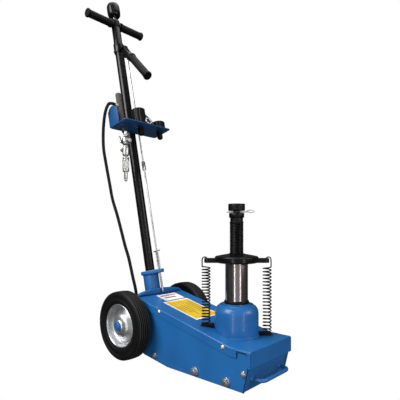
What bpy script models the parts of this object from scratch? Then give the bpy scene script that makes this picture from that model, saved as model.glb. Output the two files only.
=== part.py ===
"""Air-over-hydraulic axle jack on two wheels, with a leaning handle and a tray of adapters.

Metres, +Z up. The origin is on the floor under the ram's axis, +X points to the ram end and
+Y to the jack's left. Handle parts are drawn in the handle's own frame: x forward of the tube,
y across, z along the tube from the axle.
"""
import math

import bmesh
import bpy
from mathutils import Matrix, Vector

GAP = 0.0003                      # clearance between pieces that touch
MERGE = 0.00001

# chassis
HALF_WIDTH = 0.0948               # outside of the hood's side flanges
SHEET = 0.003
PLATE = 0.005
PLATE_OUTER = HALF_WIDTH - SHEET - GAP
PLATE_INNER = PLATE_OUTER - PLATE
HOOD_REAR_X = -0.3065
HOOD_KNEE_X = 0.050
HOOD_FLAT_Z = 0.1016
HOOD_SLOPE = 0.2231
HOOD_FRONT_X = 0.1095
FLANGE_DEPTH = 0.022
FLANGE_FRONT_X = 0.0696
APRON_BOTTOM_Z = 0.062
FOOT_FRONT_X = 0.0885
BLOCK_TOP_Z = 0.088
BLOCK_REAR_X = -0.095
BLOCK_FOOT_X = 0.0855
BLOCK_FRONT_X = 0.1025

# wheels and axle
AXLE_X = -0.318
WHEEL_RADIUS = 0.100
TYRE_HALF = 0.0205
WHEEL_Y = 0.1295
AXLE_RADIUS = 0.0105
AXLE_END_Y = 0.156

# hydraulic unit
BARREL_INNER = 0.0305
BARREL_OUTER = 0.0390
BARREL_BOTTOM_Z = 0.0243
BARREL_TOP_Z = 0.1715
TANK_RADIUS = 0.0579
TANK_WALL = 0.0039
TANK_TOP_Z = 0.1862
RAM_RADIUS = 0.0300
RAM_BOTTOM_Z = 0.125
PLATE_UNDER_Z = 0.294
PLATE_RIM_Z = 0.311
PLATE_CONE_Z = 0.319
EAR_TOP_Z = 0.3072
EAR_REACH = 0.086
EAR_HALF_WIDTH = 0.011
SCREW_RADIUS = 0.0187
COLLAR_Z = 0.4139
SCREW_TOP_Z = 0.4264
SADDLE_UNDER_Z = 0.4322
SADDLE_TOP_Z = 0.4506
SADDLE_RADIUS = 0.0223
STEM_RADIUS = 0.0094
SPRING_ANGLE = math.radians(42.3)
SPRING_RADIUS = 0.081
SPRING_COIL = 0.0105
SPRING_WIRE = 0.0017
SPRING_TOP_Z = 0.284
REAR_LUG_Z = 0.1340
FRONT_LUG_Z = 0.1125

# air motor, between the block and the axle
MOTOR_Y = -0.035
MOTOR_Z = 0.070
MOTOR_RADIUS = 0.042
MOTOR_FRONT_X = -0.131
MOTOR_REAR_X = -0.245
VALVE_Y = 0.022
VALVE_Z = 0.075

# handle, in its own frame
HANDLE_LEAN = math.radians(12.36)
TUBE_RADIUS = 0.015
TUBE_TOP = 1.019
SOCKET_RADIUS = 0.0249
COLLAR_TOP = 0.1502
COLLAR_BOTTOM = 0.1392
BAR_HEIGHT = 1.035
BAR_RADIUS = 0.0100
GRIP_RADIUS = 0.0130
GRIP_END_Y = 0.1165
KNOB_BOTTOM = 1.066
KNOB_TOP = 1.119
LEVER_PIVOT = (0.0243, 0.9336)
LEVER_DROP = math.radians(57.6)
TRAY_Z = 0.620
TRAY_FRONT = 0.0990
TRAY_REAR = TUBE_RADIUS + 0.0006
TRAY_NEAR_Y = -0.0970
TRAY_FAR_Y = 0.0945
ADAPTERS = {"long": (0.0655, -0.0115), "short": (0.0665, 0.0705)}
LATCH_LOW = (0.0459, 0.1344)
LATCH_HIGH = (0.0375, 0.8979)
HOSE_RADIUS = 0.005

BLUE = ("blue_paint", (0.012, 0.100, 0.330), 0.32, 0.0)
BLACK_GLOSS = ("black_paint", (0.010, 0.010, 0.011), 0.22, 0.0)
BLACK_OXIDE = ("black_oxide", (0.016, 0.016, 0.017), 0.45, 0.6)
RUBBER = ("rubber", (0.013, 0.013, 0.013), 0.75, 0.0)
ZINC = ("zinc", (0.62, 0.62, 0.60), 0.28, 1.0)
GROUND_STEEL = ("ground_steel", (0.36, 0.33, 0.32), 0.18, 1.0)
BRASS = ("brass", (0.70, 0.52, 0.24), 0.30, 1.0)
CAST = ("cast_iron", (0.05, 0.05, 0.055), 0.60, 0.6)
GREY_RUBBER = ("grey_rubber", (0.12, 0.11, 0.11), 0.60, 0.0)

for old in list(bpy.data.objects):
    bpy.data.objects.remove(old, do_unlink=True)

jack = bpy.data.collections.new("air_hydraulic_jack")
cutters = bpy.data.collections.new("cutters")
bpy.context.scene.collection.children.link(jack)
bpy.context.scene.collection.children.link(cutters)

ALONG_Y = Matrix.Rotation(math.radians(-90), 4, "X")    # local Z becomes +Y
ALONG_X = Matrix.Rotation(math.radians(90), 4, "Y")     # local Z becomes +X
SIDE_VIEW = Matrix.Rotation(math.radians(90), 4, "X")   # local XY becomes XZ
FRONT_VIEW = Matrix(((0, 0, 1, 0), (1, 0, 0, 0), (0, 1, 0, 0), (0, 0, 0, 1)))


def material(finish):
    name, colour, roughness, metallic = finish
    found = bpy.data.materials.get(name)
    if found:
        return found
    made = bpy.data.materials.new(name)
    made.use_nodes = True
    shader = made.node_tree.nodes["Principled BSDF"]
    shader.inputs["Base Color"].default_value = (*colour, 1.0)
    shader.inputs["Roughness"].default_value = roughness
    shader.inputs["Metallic"].default_value = metallic
    return made


def add(name, data, finish, matrix=Matrix(), parent=None, collection=jack):
    """Link an object; under a parent the matrix is in the parent's frame."""
    thing = bpy.data.objects.new(name, data)
    collection.objects.link(thing)
    thing.parent = parent
    thing.matrix_basis = matrix
    if finish:
        data.materials.append(material(finish))
    return thing


def at(x, y, z, turn=Matrix()):
    return Matrix.Translation((x, y, z)) @ turn


def as_mesh(curve_object):
    """Swap a curve object for a welded mesh, so that it can be cut or joined."""
    bpy.context.view_layer.update()
    evaluated = curve_object.evaluated_get(bpy.context.evaluated_depsgraph_get())
    mesh = bpy.data.meshes.new_from_object(evaluated)
    form = bmesh.new()
    form.from_mesh(mesh)
    bmesh.ops.remove_doubles(form, verts=form.verts, dist=MERGE)
    bmesh.ops.recalc_face_normals(form, faces=form.faces)
    form.to_mesh(mesh)
    form.free()
    name, parent, matrix = curve_object.name, curve_object.parent, curve_object.matrix_basis.copy()
    home = curve_object.users_collection[0]
    bpy.data.objects.remove(curve_object, do_unlink=True)
    return add(name, mesh, None, matrix, parent, home)


def outline(name, loops, thickness, finish, matrix=SIDE_VIEW, parent=None, collection=jack):
    """A flat plate: closed loops of 2-D points, filled between them, centred on its thickness."""
    curve = bpy.data.curves.new(name, "CURVE")
    curve.dimensions = "2D"
    curve.fill_mode = "BOTH"
    curve.extrude = thickness / 2
    for loop in loops:
        spline = curve.splines.new("POLY")
        spline.points.add(len(loop) - 1)
        for point, (x, y) in zip(spline.points, loop):
            point.co = (x, y, 0, 1)
        spline.use_cyclic_u = True
    return as_mesh(add(name, curve, finish, matrix, parent, collection))


def wire(name, points, radius, finish, matrix=Matrix(), parent=None, sides=2, closed=False):
    """A round bar, wire or hose along a list of points."""
    curve = bpy.data.curves.new(name, "CURVE")
    curve.dimensions = "3D"
    curve.bevel_depth = radius
    curve.bevel_resolution = sides
    curve.use_fill_caps = True
    spline = curve.splines.new("POLY")
    spline.points.add(len(points) - 1)
    for point, co in zip(spline.points, points):
        point.co = (*co, 1)
    spline.use_cyclic_u = closed
    return add(name, curve, finish, matrix, parent)


def turned(name, profile, finish, matrix=Matrix(), parent=None, steps=32, ring=False, collection=jack):
    """A lathe shape: (radius, height) points, top to bottom on the outer side; a ring is closed."""
    mesh = bpy.data.meshes.new(name)
    form = bmesh.new()
    verts = [form.verts.new((r, 0, z)) for r, z in profile]
    ends = verts[1:] + (verts[:1] if ring else [])
    for a, b in zip(verts, ends):
        form.edges.new((a, b))
    form.to_mesh(mesh)
    form.free()
    thing = add(name, mesh, finish, matrix, parent, collection)
    spin = thing.modifiers.new("turn", "SCREW")
    spin.steps = spin.render_steps = steps
    spin.use_merge_vertices = True
    spin.merge_threshold = MERGE
    return thing


def rod(name, radius, low, high, finish, matrix=Matrix(), parent=None, steps=24, collection=jack):
    """A plain cylinder between two heights on its own axis."""
    profile = [(0, high), (radius, high), (radius, low), (0, low)]
    return turned(name, profile, finish, matrix, parent, steps, collection=collection)


def sleeve(name, inner, outer, low, high, finish, matrix=Matrix(), parent=None, steps=32):
    profile = [(inner, high), (outer, high), (outer, low), (inner, low)]
    return turned(name, profile, finish, matrix, parent, steps, ring=True)


def block(name, low, high, finish, bevel=0.0, matrix=Matrix(), parent=None, collection=jack):
    """A box between two corners, with an optional bevel."""
    mesh = bpy.data.meshes.new(name)
    form = bmesh.new()
    bmesh.ops.create_cube(form, size=1.0)
    size = Vector(high) - Vector(low)
    middle = (Vector(high) + Vector(low)) / 2
    bmesh.ops.transform(form, verts=form.verts, matrix=Matrix.Translation(middle) @ Matrix.Diagonal((*size, 1)))
    form.to_mesh(mesh)
    form.free()
    thing = add(name, mesh, finish, matrix, parent, collection)
    if bevel:
        edge = thing.modifiers.new("edge", "BEVEL")
        edge.width = bevel
        edge.segments = 1
    return thing


def prism(name, radius, low, high, sides, finish, matrix=Matrix(), parent=None, collection=jack):
    """A polygonal head or nut, its flats across from each other."""
    mesh = bpy.data.meshes.new(name)
    form = bmesh.new()
    bmesh.ops.create_cone(form, cap_ends=True, segments=sides, radius1=radius, radius2=radius, depth=high - low)
    bmesh.ops.translate(form, verts=form.verts, vec=(0, 0, (high + low) / 2))
    form.to_mesh(mesh)
    form.free()
    return add(name, mesh, finish, matrix, parent, collection)


def boolean(target, other, operation):
    step = target.modifiers.new(operation.lower(), "BOOLEAN")
    step.operation = operation
    step.object = other
    other.hide_render = True
    other.display_type = "WIRE"
    for home in list(other.users_collection):
        home.objects.unlink(other)
    cutters.objects.link(other)


def cut(target, *others):
    for other in others:
        boolean(target, other, "DIFFERENCE")


def join(target, *others):
    for other in others:
        boolean(target, other, "UNION")


def arc(cx, cy, radius, start, end, count):
    """Points on a circular arc, angles in degrees."""
    angles = [math.radians(start + (end - start) * i / (count - 1)) for i in range(count)]
    return [(cx + radius * math.cos(a), cy + radius * math.sin(a)) for a in angles]


def circle(cx, cy, radius, count=20):
    return arc(cx, cy, radius, 0, 360 - 360 / count, count)


def hood_z(x):
    """Height of the hood's top face at x."""
    return HOOD_FLAT_Z + max(0.0, HOOD_KNEE_X - x) * HOOD_SLOPE


def smooth_route(points, count):
    """Points evenly spread on a Catmull-Rom curve through the route."""
    knots = [Vector(p) for p in points]
    knots = [knots[0] * 2 - knots[1]] + knots + [knots[-1] * 2 - knots[-2]]
    spans = len(points) - 1
    route = []
    for i in range(count):
        place = i / (count - 1) * spans
        k = min(int(place), spans - 1)
        u = place - k
        a, b, c, d = knots[k:k + 4]
        route.append(0.5 * (2 * b + (c - a) * u + (2 * a - 5 * b + 4 * c - d) * u ** 2
                            + (3 * b - a - 3 * c + d) * u ** 3))
    return route


# ---------------------------------------------------------------- chassis

THROUGH_BOLTS = {"through_bolt_front": (0.0375, 0.0140), "through_bolt_rear": (-0.0663, 0.0152)}
STAY_BOLTS = {"stay_bolt_front": (0.0880, 0.0453), "stay_bolt_rear": (-0.2230, 0.0222)}
COVER_SCREWS = {"front": (0.0290, 0.0972), "rear": (-0.2015, 0.1500)}
THROUGH_RADIUS = 0.0060
STAY_RADIUS = 0.0040
SCREW_SHANK = 0.0028


def across(name, x, z, radius, reach, steps=16):
    """A cutter along Y through the whole chassis."""
    return rod(name, radius, -reach, reach, None, at(x, 0, z, ALONG_Y), steps=steps, collection=cutters)


def side_plate(name, side):
    foot = [(FOOT_FRONT_X, 0), (0.1030, 0.0600), (0.1055, 0.0640), (0.1055, 0.0860)]
    corner = arc(0.0955, 0.0870, 0.0098, 0, 80, 4)
    top = [(0.0700, 0.0975), (HOOD_KNEE_X, hood_z(HOOD_KNEE_X) - 0.0038), (-0.3100, hood_z(-0.3100) - 0.0042)]
    tail = [(-0.3400, 0.1700), (-0.3520, 0.1500), (-0.3520, 0.0700), (-0.3400, 0.0450),
            (-0.2722, 0.0146), (-0.2315, 0.0088), (-0.1713, 0.0)]
    holes = [circle(AXLE_X, WHEEL_RADIUS, AXLE_RADIUS + GAP, 24)]
    holes += [circle(x, z, THROUGH_RADIUS + GAP, 16) for x, z in THROUGH_BOLTS.values()]
    holes += [circle(x, z, STAY_RADIUS + GAP, 12) for x, z in STAY_BOLTS.values()]
    holes += [circle(x, z, SCREW_SHANK + GAP, 12) for x, z in COVER_SCREWS.values()]
    middle = side * (PLATE_OUTER + PLATE_INNER) / 2
    return outline(name, [foot + corner + top + tail] + holes, PLATE, BLUE, at(0, middle, 0, SIDE_VIEW))


def top_cover():
    """The folded hood: sloping top, side flanges and a short front apron, open below."""
    rear = HOOD_REAR_X
    outer = [(rear, hood_z(rear)), (HOOD_KNEE_X, HOOD_FLAT_Z), (0.1060, HOOD_FLAT_Z - 0.0004),
             (HOOD_FRONT_X, HOOD_FLAT_Z - 0.0035), (HOOD_FRONT_X, APRON_BOTTOM_Z),
             (0.0900, APRON_BOTTOM_Z), (FLANGE_FRONT_X, HOOD_FLAT_Z - FLANGE_DEPTH),
             (HOOD_KNEE_X, HOOD_FLAT_Z - FLANGE_DEPTH), (rear, hood_z(rear) - FLANGE_DEPTH)]
    inner = [(rear - 0.02, hood_z(rear - 0.02) - SHEET), (HOOD_KNEE_X, HOOD_FLAT_Z - SHEET),
             (0.1045, HOOD_FLAT_Z - SHEET - 0.0003), (HOOD_FRONT_X - SHEET, HOOD_FLAT_Z - 0.0052),
             (HOOD_FRONT_X - SHEET, 0.040), (rear - 0.02, 0.040)]
    cover = outline("top_cover", [outer], 2 * HALF_WIDTH, BLUE)
    hollow = outline("cover_hollow", [inner], 2 * (HALF_WIDTH - SHEET), None, collection=cutters)
    notch = block("cover_notch", (FLANGE_FRONT_X, -0.2, 0.03),
                  (HOOD_FRONT_X - SHEET, 0.2, HOOD_FLAT_Z - SHEET - 0.0003), None, collection=cutters)
    opening = rod("tank_opening", TANK_RADIUS + 0.0013, 0.02, 0.30, None, steps=40, collection=cutters)
    cut(cover, hollow, notch, opening)
    for place, (x, z) in COVER_SCREWS.items():
        cut(cover, across(f"cover_screw_hole_{place}", x, z, SCREW_SHANK + GAP, 0.2, 12))
    return cover


def through_bolt(name, x, z, shank, head, head_length):
    """One bolt right across the chassis, a hex head on one side and its nut on the other."""
    face = PLATE_OUTER + GAP
    place = at(x, 0, z, ALONG_Y)
    bolt = rod(name, shank, -face - head_length + 0.001, face + head_length - 0.001, ZINC, place, steps=16)
    for side in (-1, 1):
        low, high = sorted((side * face, side * (face + head_length)))
        join(bolt, prism(f"{name}_head_{side}", head, low, high, 6, None, place, collection=cutters))
    return bolt


def cover_screw(name, x, z, side):
    face = HALF_WIDTH + GAP
    turn = ALONG_Y if side > 0 else Matrix.Rotation(math.radians(90), 4, "X")
    profile = [(0, face + 0.0030), (0.0045, face + 0.0028), (0.0058, face + 0.0012), (0.0058, face),
               (SCREW_SHANK, face), (SCREW_SHANK, PLATE_INNER - 0.004), (0, PLATE_INNER - 0.004)]
    return turned(name, profile, BRASS, at(x, 0, z, turn), steps=12)


def rear_bridge():
    """An arched bar across the hood's rear end, which the upright handle rests against."""
    low = hood_z(HOOD_REAR_X) + GAP
    top = [(y / 1000, 0.1966 - 0.0000011 * y * y) for y in (76, 50, 25, 0, -25, -50, -76)]
    ends = [(0.0880, low), (0.0870, low + 0.0040)]
    loop = ends + top + [(-y, z) for y, z in reversed(ends)]
    bar = outline("rear_bridge", [loop], 0.013, BLUE, at(-0.3030, 0, 0, FRONT_VIEW))
    cut(bar, block("bridge_slot", (-0.33, -0.0045, low + 0.0030), (-0.28, 0.0045, 0.22), None, collection=cutters))
    return bar


def base_block():
    """The cast hydraulic base: cylinder bore, pump bore, valve bore and cross bolts."""
    shape = [(BLOCK_REAR_X, 0), (BLOCK_FOOT_X, 0), (BLOCK_FRONT_X, 0.0640), (BLOCK_FRONT_X, BLOCK_TOP_Z),
             (BLOCK_REAR_X, BLOCK_TOP_Z)]
    body = outline("base_block", [shape], 2 * (PLATE_INNER - GAP), BLUE, at(0, 0, 0, SIDE_VIEW))
    cut(body, rod("cylinder_bore", BARREL_OUTER + GAP, BARREL_BOTTOM_Z - GAP, 0.2, None, steps=32, collection=cutters))
    cut(body, rod("pump_bore", 0.0083, -0.20, -0.050, None, at(0, MOTOR_Y, MOTOR_Z, ALONG_X), steps=16,
                  collection=cutters))
    cut(body, rod("valve_bore", 0.0064, -0.20, -0.070, None, at(0, VALVE_Y, VALVE_Z, ALONG_X), steps=12,
                  collection=cutters))
    for name, (x, z) in THROUGH_BOLTS.items():
        cut(body, across(f"{name}_hole", x, z, THROUGH_RADIUS + GAP, 0.2))
    cut(body, across("stay_bolt_hole", *STAY_BOLTS["stay_bolt_front"], STAY_RADIUS + GAP, 0.2))
    return body


def front_bar():
    """A bent round bar low on the front, welded to the block's face."""
    half = [(0.0945, 0.060), (0.1040, 0.060), (0.1150, 0.0570), (0.1205, 0.0490), (0.1215, 0.0380)]
    points = [(x, -y, 0.027) for x, y in half] + [(x, y, 0.027) for x, y in reversed(half)]
    return wire("front_bar", points, 0.005, BLUE, sides=3)


def axle():
    """A straight axle with a shoulder between each side plate and its wheel."""
    shoulder_in, shoulder_out = PLATE_OUTER + GAP, WHEEL_Y - TYRE_HALF - GAP
    end = AXLE_END_Y
    half = [(0, end), (AXLE_RADIUS - 0.0015, end), (AXLE_RADIUS, end - 0.0015), (AXLE_RADIUS, shoulder_out),
            (0.0150, shoulder_out), (0.0150, shoulder_in), (AXLE_RADIUS, shoulder_in)]
    profile = half + [(r, -z) for r, z in reversed(half)]
    return turned("axle", profile, BLUE, at(AXLE_X, 0, WHEEL_RADIUS, ALONG_Y), steps=24)


def wheel(side_name, side):
    """A ribbed tyre on a dished steel rim, its dish facing out."""
    turn = ALONG_Y if side > 0 else Matrix.Rotation(math.radians(90), 4, "X")
    place = at(AXLE_X, side * WHEEL_Y, WHEEL_RADIUS, turn)
    r = WHEEL_RADIUS
    half = [(0.0640, 0.0190), (0.0720, TYRE_HALF), (0.0880, TYRE_HALF), (0.0960, 0.0175), (r, 0.0120)]
    tyre = half + [(rr, -z) for rr, z in reversed(half)]
    turned(f"tyre_{side_name}", tyre, RUBBER, place, steps=40, ring=True)
    bore = AXLE_RADIUS + GAP
    rim = [(bore, 0.0240), (0.0175, 0.0240), (0.0200, 0.0130), (0.0320, 0.0085), (0.0480, 0.0065),
           (0.0585, 0.0100), (0.0610, 0.0165), (0.0637, 0.0165), (0.0637, -0.0165), (0.0605, -0.0165),
           (0.0575, 0.0045), (0.0480, 0.0015), (0.0320, 0.0035), (0.0200, 0.0000), (0.0175, -0.0200),
           (bore, -0.0200)]
    turned(f"rim_{side_name}", rim, ZINC, place, steps=32, ring=True)


def hydraulic_unit():
    sleeve("cylinder_barrel", BARREL_INNER, BARREL_OUTER, BARREL_BOTTOM_Z, BARREL_TOP_Z, CAST)
    wall = TANK_RADIUS - TANK_WALL
    tank = [(0.0395, TANK_TOP_Z), (0.0440, 0.1848), (0.0500, 0.1800), (0.0550, 0.1725), (TANK_RADIUS, 0.1620),
            (TANK_RADIUS, BLOCK_TOP_Z + GAP), (wall, BLOCK_TOP_Z + GAP), (wall, 0.1600), (0.0510, 0.1700),
            (0.0460, 0.1770), (0.0395, 0.1815)]
    turned("oil_tank", tank, BLUE, steps=40, ring=True)
    sleeve("gland_nut", BARREL_INNER, 0.0391, BARREL_TOP_Z + GAP, 0.1880, BLUE)
    wiper = [(0.0303, 0.1955), (0.0318, 0.1955), (0.0330, 0.1930), (0.0330, 0.1883), (0.0303, 0.1883)]
    turned("wiper_seal", wiper, RUBBER, ring=True)
    plug_turn = Matrix.Rotation(math.radians(180), 4, "Z") @ ALONG_X
    plug = prism("oil_filler_plug", 0.0085, TANK_RADIUS + GAP, TANK_RADIUS + 0.0060, 6, ZINC, at(0, 0, 0.148, plug_turn))
    return plug


def spring_lug(name, side, top, rise):
    """A black wedge on the hood that holds the lower end of a return spring."""
    inner, outer = TANK_RADIUS + 0.0017, 0.0955
    base = hood_z(side * inner * math.cos(SPRING_ANGLE)) + 0.0013
    loop = [(inner, base), (outer, base + rise), (outer, base + rise + 0.0012), (0.0900, top), (inner, top)]
    turn = Matrix.Rotation(SPRING_ANGLE + (0 if side > 0 else math.pi), 4, "Z") @ SIDE_VIEW
    return outline(name, [loop], 0.014, BLACK_OXIDE, turn)


def air_motor():
    """The air motor's cylinder, its rear cap, and the piston with the pump plunger."""
    place = at(0, MOTOR_Y, MOTOR_Z, ALONG_X)
    bore, inner = 0.0084, MOTOR_RADIUS - 0.003
    cup = [(bore, BLOCK_REAR_X - GAP), (0.016, BLOCK_REAR_X - GAP), (0.016, MOTOR_FRONT_X),
           (MOTOR_RADIUS, MOTOR_FRONT_X), (MOTOR_RADIUS, MOTOR_REAR_X), (inner, MOTOR_REAR_X),
           (inner, MOTOR_FRONT_X - 0.004), (bore, MOTOR_FRONT_X - 0.004)]
    turned("air_motor_cylinder", cup, BLUE, place, steps=28, ring=True)
    rod("air_motor_cap", MOTOR_RADIUS, MOTOR_REAR_X - 0.010, MOTOR_REAR_X - GAP, CAST, place, steps=28)
    piston, plunger = inner - GAP, 0.0080
    turned("air_piston", [(0, -0.0720), (plunger, -0.0720), (plunger, -0.2200), (piston, -0.2200),
                          (piston, -0.2320), (0, -0.2320)], GROUND_STEEL, place, steps=28)


def release_valve():
    """The release valve's long stem, with a cross hole's fork at its rear end."""
    place = at(0, VALVE_Y, VALVE_Z, ALONG_X)
    profile = [(0, -0.0703), (0.0060, -0.0710), (0.0060, -0.2500), (0.0090, -0.2520), (0.0090, -0.2780), (0, -0.2780)]
    return turned("release_valve_stem", profile, ZINC, place, steps=16)


# ---------------------------------------------------------------- ram, plate, screw and saddle

def ram_group():
    ram = [(0, 0.172), (SCREW_RADIUS + 0.0004, 0.172), (SCREW_RADIUS + 0.0004, PLATE_UNDER_Z - GAP),
           (RAM_RADIUS, PLATE_UNDER_Z - GAP), (RAM_RADIUS, RAM_BOTTOM_Z), (0, RAM_BOTTOM_Z)]
    turned("ram", ram, GROUND_STEEL, steps=36)
    hole = SCREW_RADIUS + GAP
    disc = [(hole, PLATE_CONE_Z), (0.0225, PLATE_CONE_Z), (0.0560, PLATE_RIM_Z + 0.0010), (TANK_RADIUS, PLATE_RIM_Z),
            (TANK_RADIUS, PLATE_UNDER_Z + 0.002), (0.0500, PLATE_UNDER_Z), (hole, PLATE_UNDER_Z)]
    plate = turned("lift_plate", disc, BLACK_GLOSS, steps=36, ring=True)
    turn = Matrix.Rotation(SPRING_ANGLE, 4, "Z")
    ears = outline("lift_plate_ears", [[(-EAR_REACH, -0.008), (-0.080, -EAR_HALF_WIDTH), (0.080, -EAR_HALF_WIDTH),
                                        (EAR_REACH, -0.008), (EAR_REACH, 0.008), (0.080, EAR_HALF_WIDTH),
                                        (-0.080, EAR_HALF_WIDTH), (-EAR_REACH, 0.008)]],
                   EAR_TOP_Z - PLATE_UNDER_Z - 0.0008, None, at(0, 0, (EAR_TOP_Z + PLATE_UNDER_Z) / 2 , turn),
                   collection=cutters)
    join(plate, ears)
    cut(plate, rod("screw_clearance", hole, 0.2, 0.4, None, steps=36, collection=cutters))
    for side in (-1, 1):
        x, y = (side * 0.0785 * f(SPRING_ANGLE) for f in (math.cos, math.sin))
        cut(plate, rod(f"hook_hole_{side}", 0.0032, 0.2, 0.4, None, at(x, y, 0), steps=10, collection=cutters))


def return_spring(name, side, foot):
    """A drawn extension spring: close coils, and a hook over the plate's ear at the top."""
    turns, per_turn = 17, 10
    low, high = foot + SPRING_WIRE + GAP, SPRING_TOP_Z
    coil = []
    for i in range(turns * per_turn + 1):
        angle = 2 * math.pi * i / per_turn
        height = low + (high - low) * i / (turns * per_turn)
        coil.append((SPRING_RADIUS + SPRING_COIL * math.cos(angle), SPRING_COIL * math.sin(angle), height))
    over = EAR_TOP_Z + SPRING_WIRE + GAP
    outside = SPRING_RADIUS + SPRING_COIL
    hook = [(outside, 0, 0.290), (outside, 0, 0.304), (0.0895, 0, over), (0.0820, 0, over + 0.0006),
            (0.0785, 0, over - 0.001), (0.0785, 0, 0.3000)]
    turn = Matrix.Rotation(SPRING_ANGLE + (0 if side > 0 else math.pi), 4, "Z")
    return wire(name, coil + hook, SPRING_WIRE, BLACK_OXIDE, turn, sides=1)


def screw_and_saddle():
    bore = STEM_RADIUS + GAP
    screw = [(0, 0.385), (bore, 0.385), (bore, SCREW_TOP_Z), (0.0202, SCREW_TOP_Z), (0.0202, COLLAR_Z),
             (0.0170, COLLAR_Z), (0.0170, 0.4033), (SCREW_RADIUS, 0.4033), (SCREW_RADIUS, 0.262), (0, 0.262)]
    turned("extension_screw", screw, BLACK_OXIDE, steps=28)
    saddle = [(0, SADDLE_TOP_Z), (SADDLE_RADIUS - 0.001, SADDLE_TOP_Z), (SADDLE_RADIUS, SADDLE_TOP_Z - 0.001),
              (SADDLE_RADIUS, SADDLE_UNDER_Z), (STEM_RADIUS, SADDLE_UNDER_Z), (STEM_RADIUS, 0.388), (0, 0.388)]
    turned("saddle", saddle, BLACK_OXIDE, steps=28)
    half = [(-0.0260, 0.0112, 0.4292), (0.0210, 0.0112, 0.4292), (0.0300, 0.0080, 0.4325), (0.0400, 0.0035, 0.4345)]
    back = [(0.0455, 0.0, 0.4325), (0.0445, -0.0035, 0.4290), (0.0360, -0.0070, 0.4272),
            (0.0250, -0.0105, 0.4290), (-0.0220, -0.0112, 0.4292)]
    wire("retaining_clip", half + back, 0.0011, ZINC, Matrix.Rotation(SPRING_ANGLE, 4, "Z"), sides=1)


# ---------------------------------------------------------------- handle

handle_frame = bpy.data.objects.new("handle_frame", None)
jack.objects.link(handle_frame)
handle_frame.matrix_basis = at(AXLE_X, 0, WHEEL_RADIUS, Matrix.Rotation(-HANDLE_LEAN, 4, "Y"))


def in_handle(x=0.0, y=0.0, z=0.0, turn=Matrix()):
    return at(x, y, z, turn)


def handle_socket():
    """A yoke on the axle, the tube's socket above it and a collar plate at the top."""
    inner = TUBE_RADIUS + GAP
    tube = [(inner, COLLAR_BOTTOM + 0.004), (SOCKET_RADIUS, COLLAR_BOTTOM + 0.004), (SOCKET_RADIUS, 0.062), (inner, 0.062)]
    socket = turned("handle_socket", tube, BLUE, in_handle(), handle_frame, 28, ring=True)
    for side in (-1, 1):
        ear = [(0.0200, 0.076), (-0.0200, 0.076)] + arc(0, 0, 0.0180, 190, 350, 8)
        ring = circle(0, 0, AXLE_RADIUS + GAP, 24)
        plate = outline(f"socket_ear_{side}", [ear, ring], 0.006, None,
                        in_handle(0, side * 0.0190, 0, SIDE_VIEW), handle_frame, cutters)
        join(socket, plate)
    rear = arc(0, 0, 0.0300, 60, 300, 14)
    flange = outline("socket_flange", [rear + [(0.0560, -0.0110), (0.0580, 0), (0.0560, 0.0110)],
                                       circle(0, 0, inner, 28),
                                       circle(0.0459, 0, 0.0040, 12)],
                     COLLAR_TOP - COLLAR_BOTTOM, None,
                     in_handle(0, 0, (COLLAR_TOP + COLLAR_BOTTOM) / 2), handle_frame, cutters)
    join(socket, flange)
    screw_turn = Matrix.Rotation(math.radians(-90), 4, "Y")
    prism("socket_screw", 0.0060, SOCKET_RADIUS + GAP, SOCKET_RADIUS + 0.0062, 6, ZINC,
          in_handle(0, 0, 0.1130, screw_turn), handle_frame)
    return socket


def handle_top():
    """The main tube and the cross bar with its two grips."""
    sleeve("handle_tube", 0.0110, TUBE_RADIUS, 0.078, TUBE_TOP, BLACK_GLOSS, in_handle(), handle_frame, 24)
    hub = [(0.0072, BAR_HEIGHT + 0.0165), (0.0155, BAR_HEIGHT + 0.0165), (0.0155, TUBE_TOP + GAP), (0.0072, TUBE_TOP + GAP)]
    bar = turned("t_bar", hub, BLACK_GLOSS, in_handle(), handle_frame, 20, ring=True)
    cross = rod("t_bar_rod", BAR_RADIUS, -GRIP_END_Y + 0.004, GRIP_END_Y - 0.004, None,
                in_handle(0, 0, BAR_HEIGHT, ALONG_Y), handle_frame, 16, collection=cutters)
    join(bar, cross)
    cut(bar, rod("t_bar_bore", 0.0072, 0.9, 1.2, None, in_handle(), handle_frame, 20, collection=cutters))
    inner = BAR_RADIUS + GAP
    for name, side in (("grip_right", -1), ("grip_left", 1)):
        turn = ALONG_Y if side > 0 else Matrix.Rotation(math.radians(90), 4, "X")
        end = GRIP_END_Y
        grip = [(0, end), (0.0140, end), (0.0150, end - 0.002), (0.0150, end - 0.006), (GRIP_RADIUS, end - 0.008),
                (GRIP_RADIUS, 0.0250), (0.0148, 0.0240), (0.0148, 0.0190), (inner, 0.0190), (inner, end - 0.0037),
                (0, end - 0.0037)]
        turned(name, grip, RUBBER, in_handle(0, 0, BAR_HEIGHT, turn), handle_frame, 18)


def release_group():
    """The knob above the cross bar, and its rod down inside the tube."""
    profile = [(0, KNOB_TOP), (0.0120, KNOB_TOP), (0.0190, KNOB_TOP - 0.0035), (0.0225, KNOB_TOP - 0.0110),
               (0.0232, KNOB_TOP - 0.0240), (0.0232, KNOB_BOTTOM + 0.0120), (0.0205, KNOB_BOTTOM + 0.0030),
               (0.0130, KNOB_BOTTOM), (0.0068, KNOB_BOTTOM), (0.0068, KNOB_BOTTOM + 0.0300), (0, KNOB_BOTTOM + 0.0300)]
    turned("release_knob", profile, BLACK_GLOSS, in_handle(), handle_frame, 24)
    rod("release_rod", 0.0062, 0.0450, KNOB_BOTTOM + 0.0295, ZINC, in_handle(), handle_frame, 14)


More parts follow.
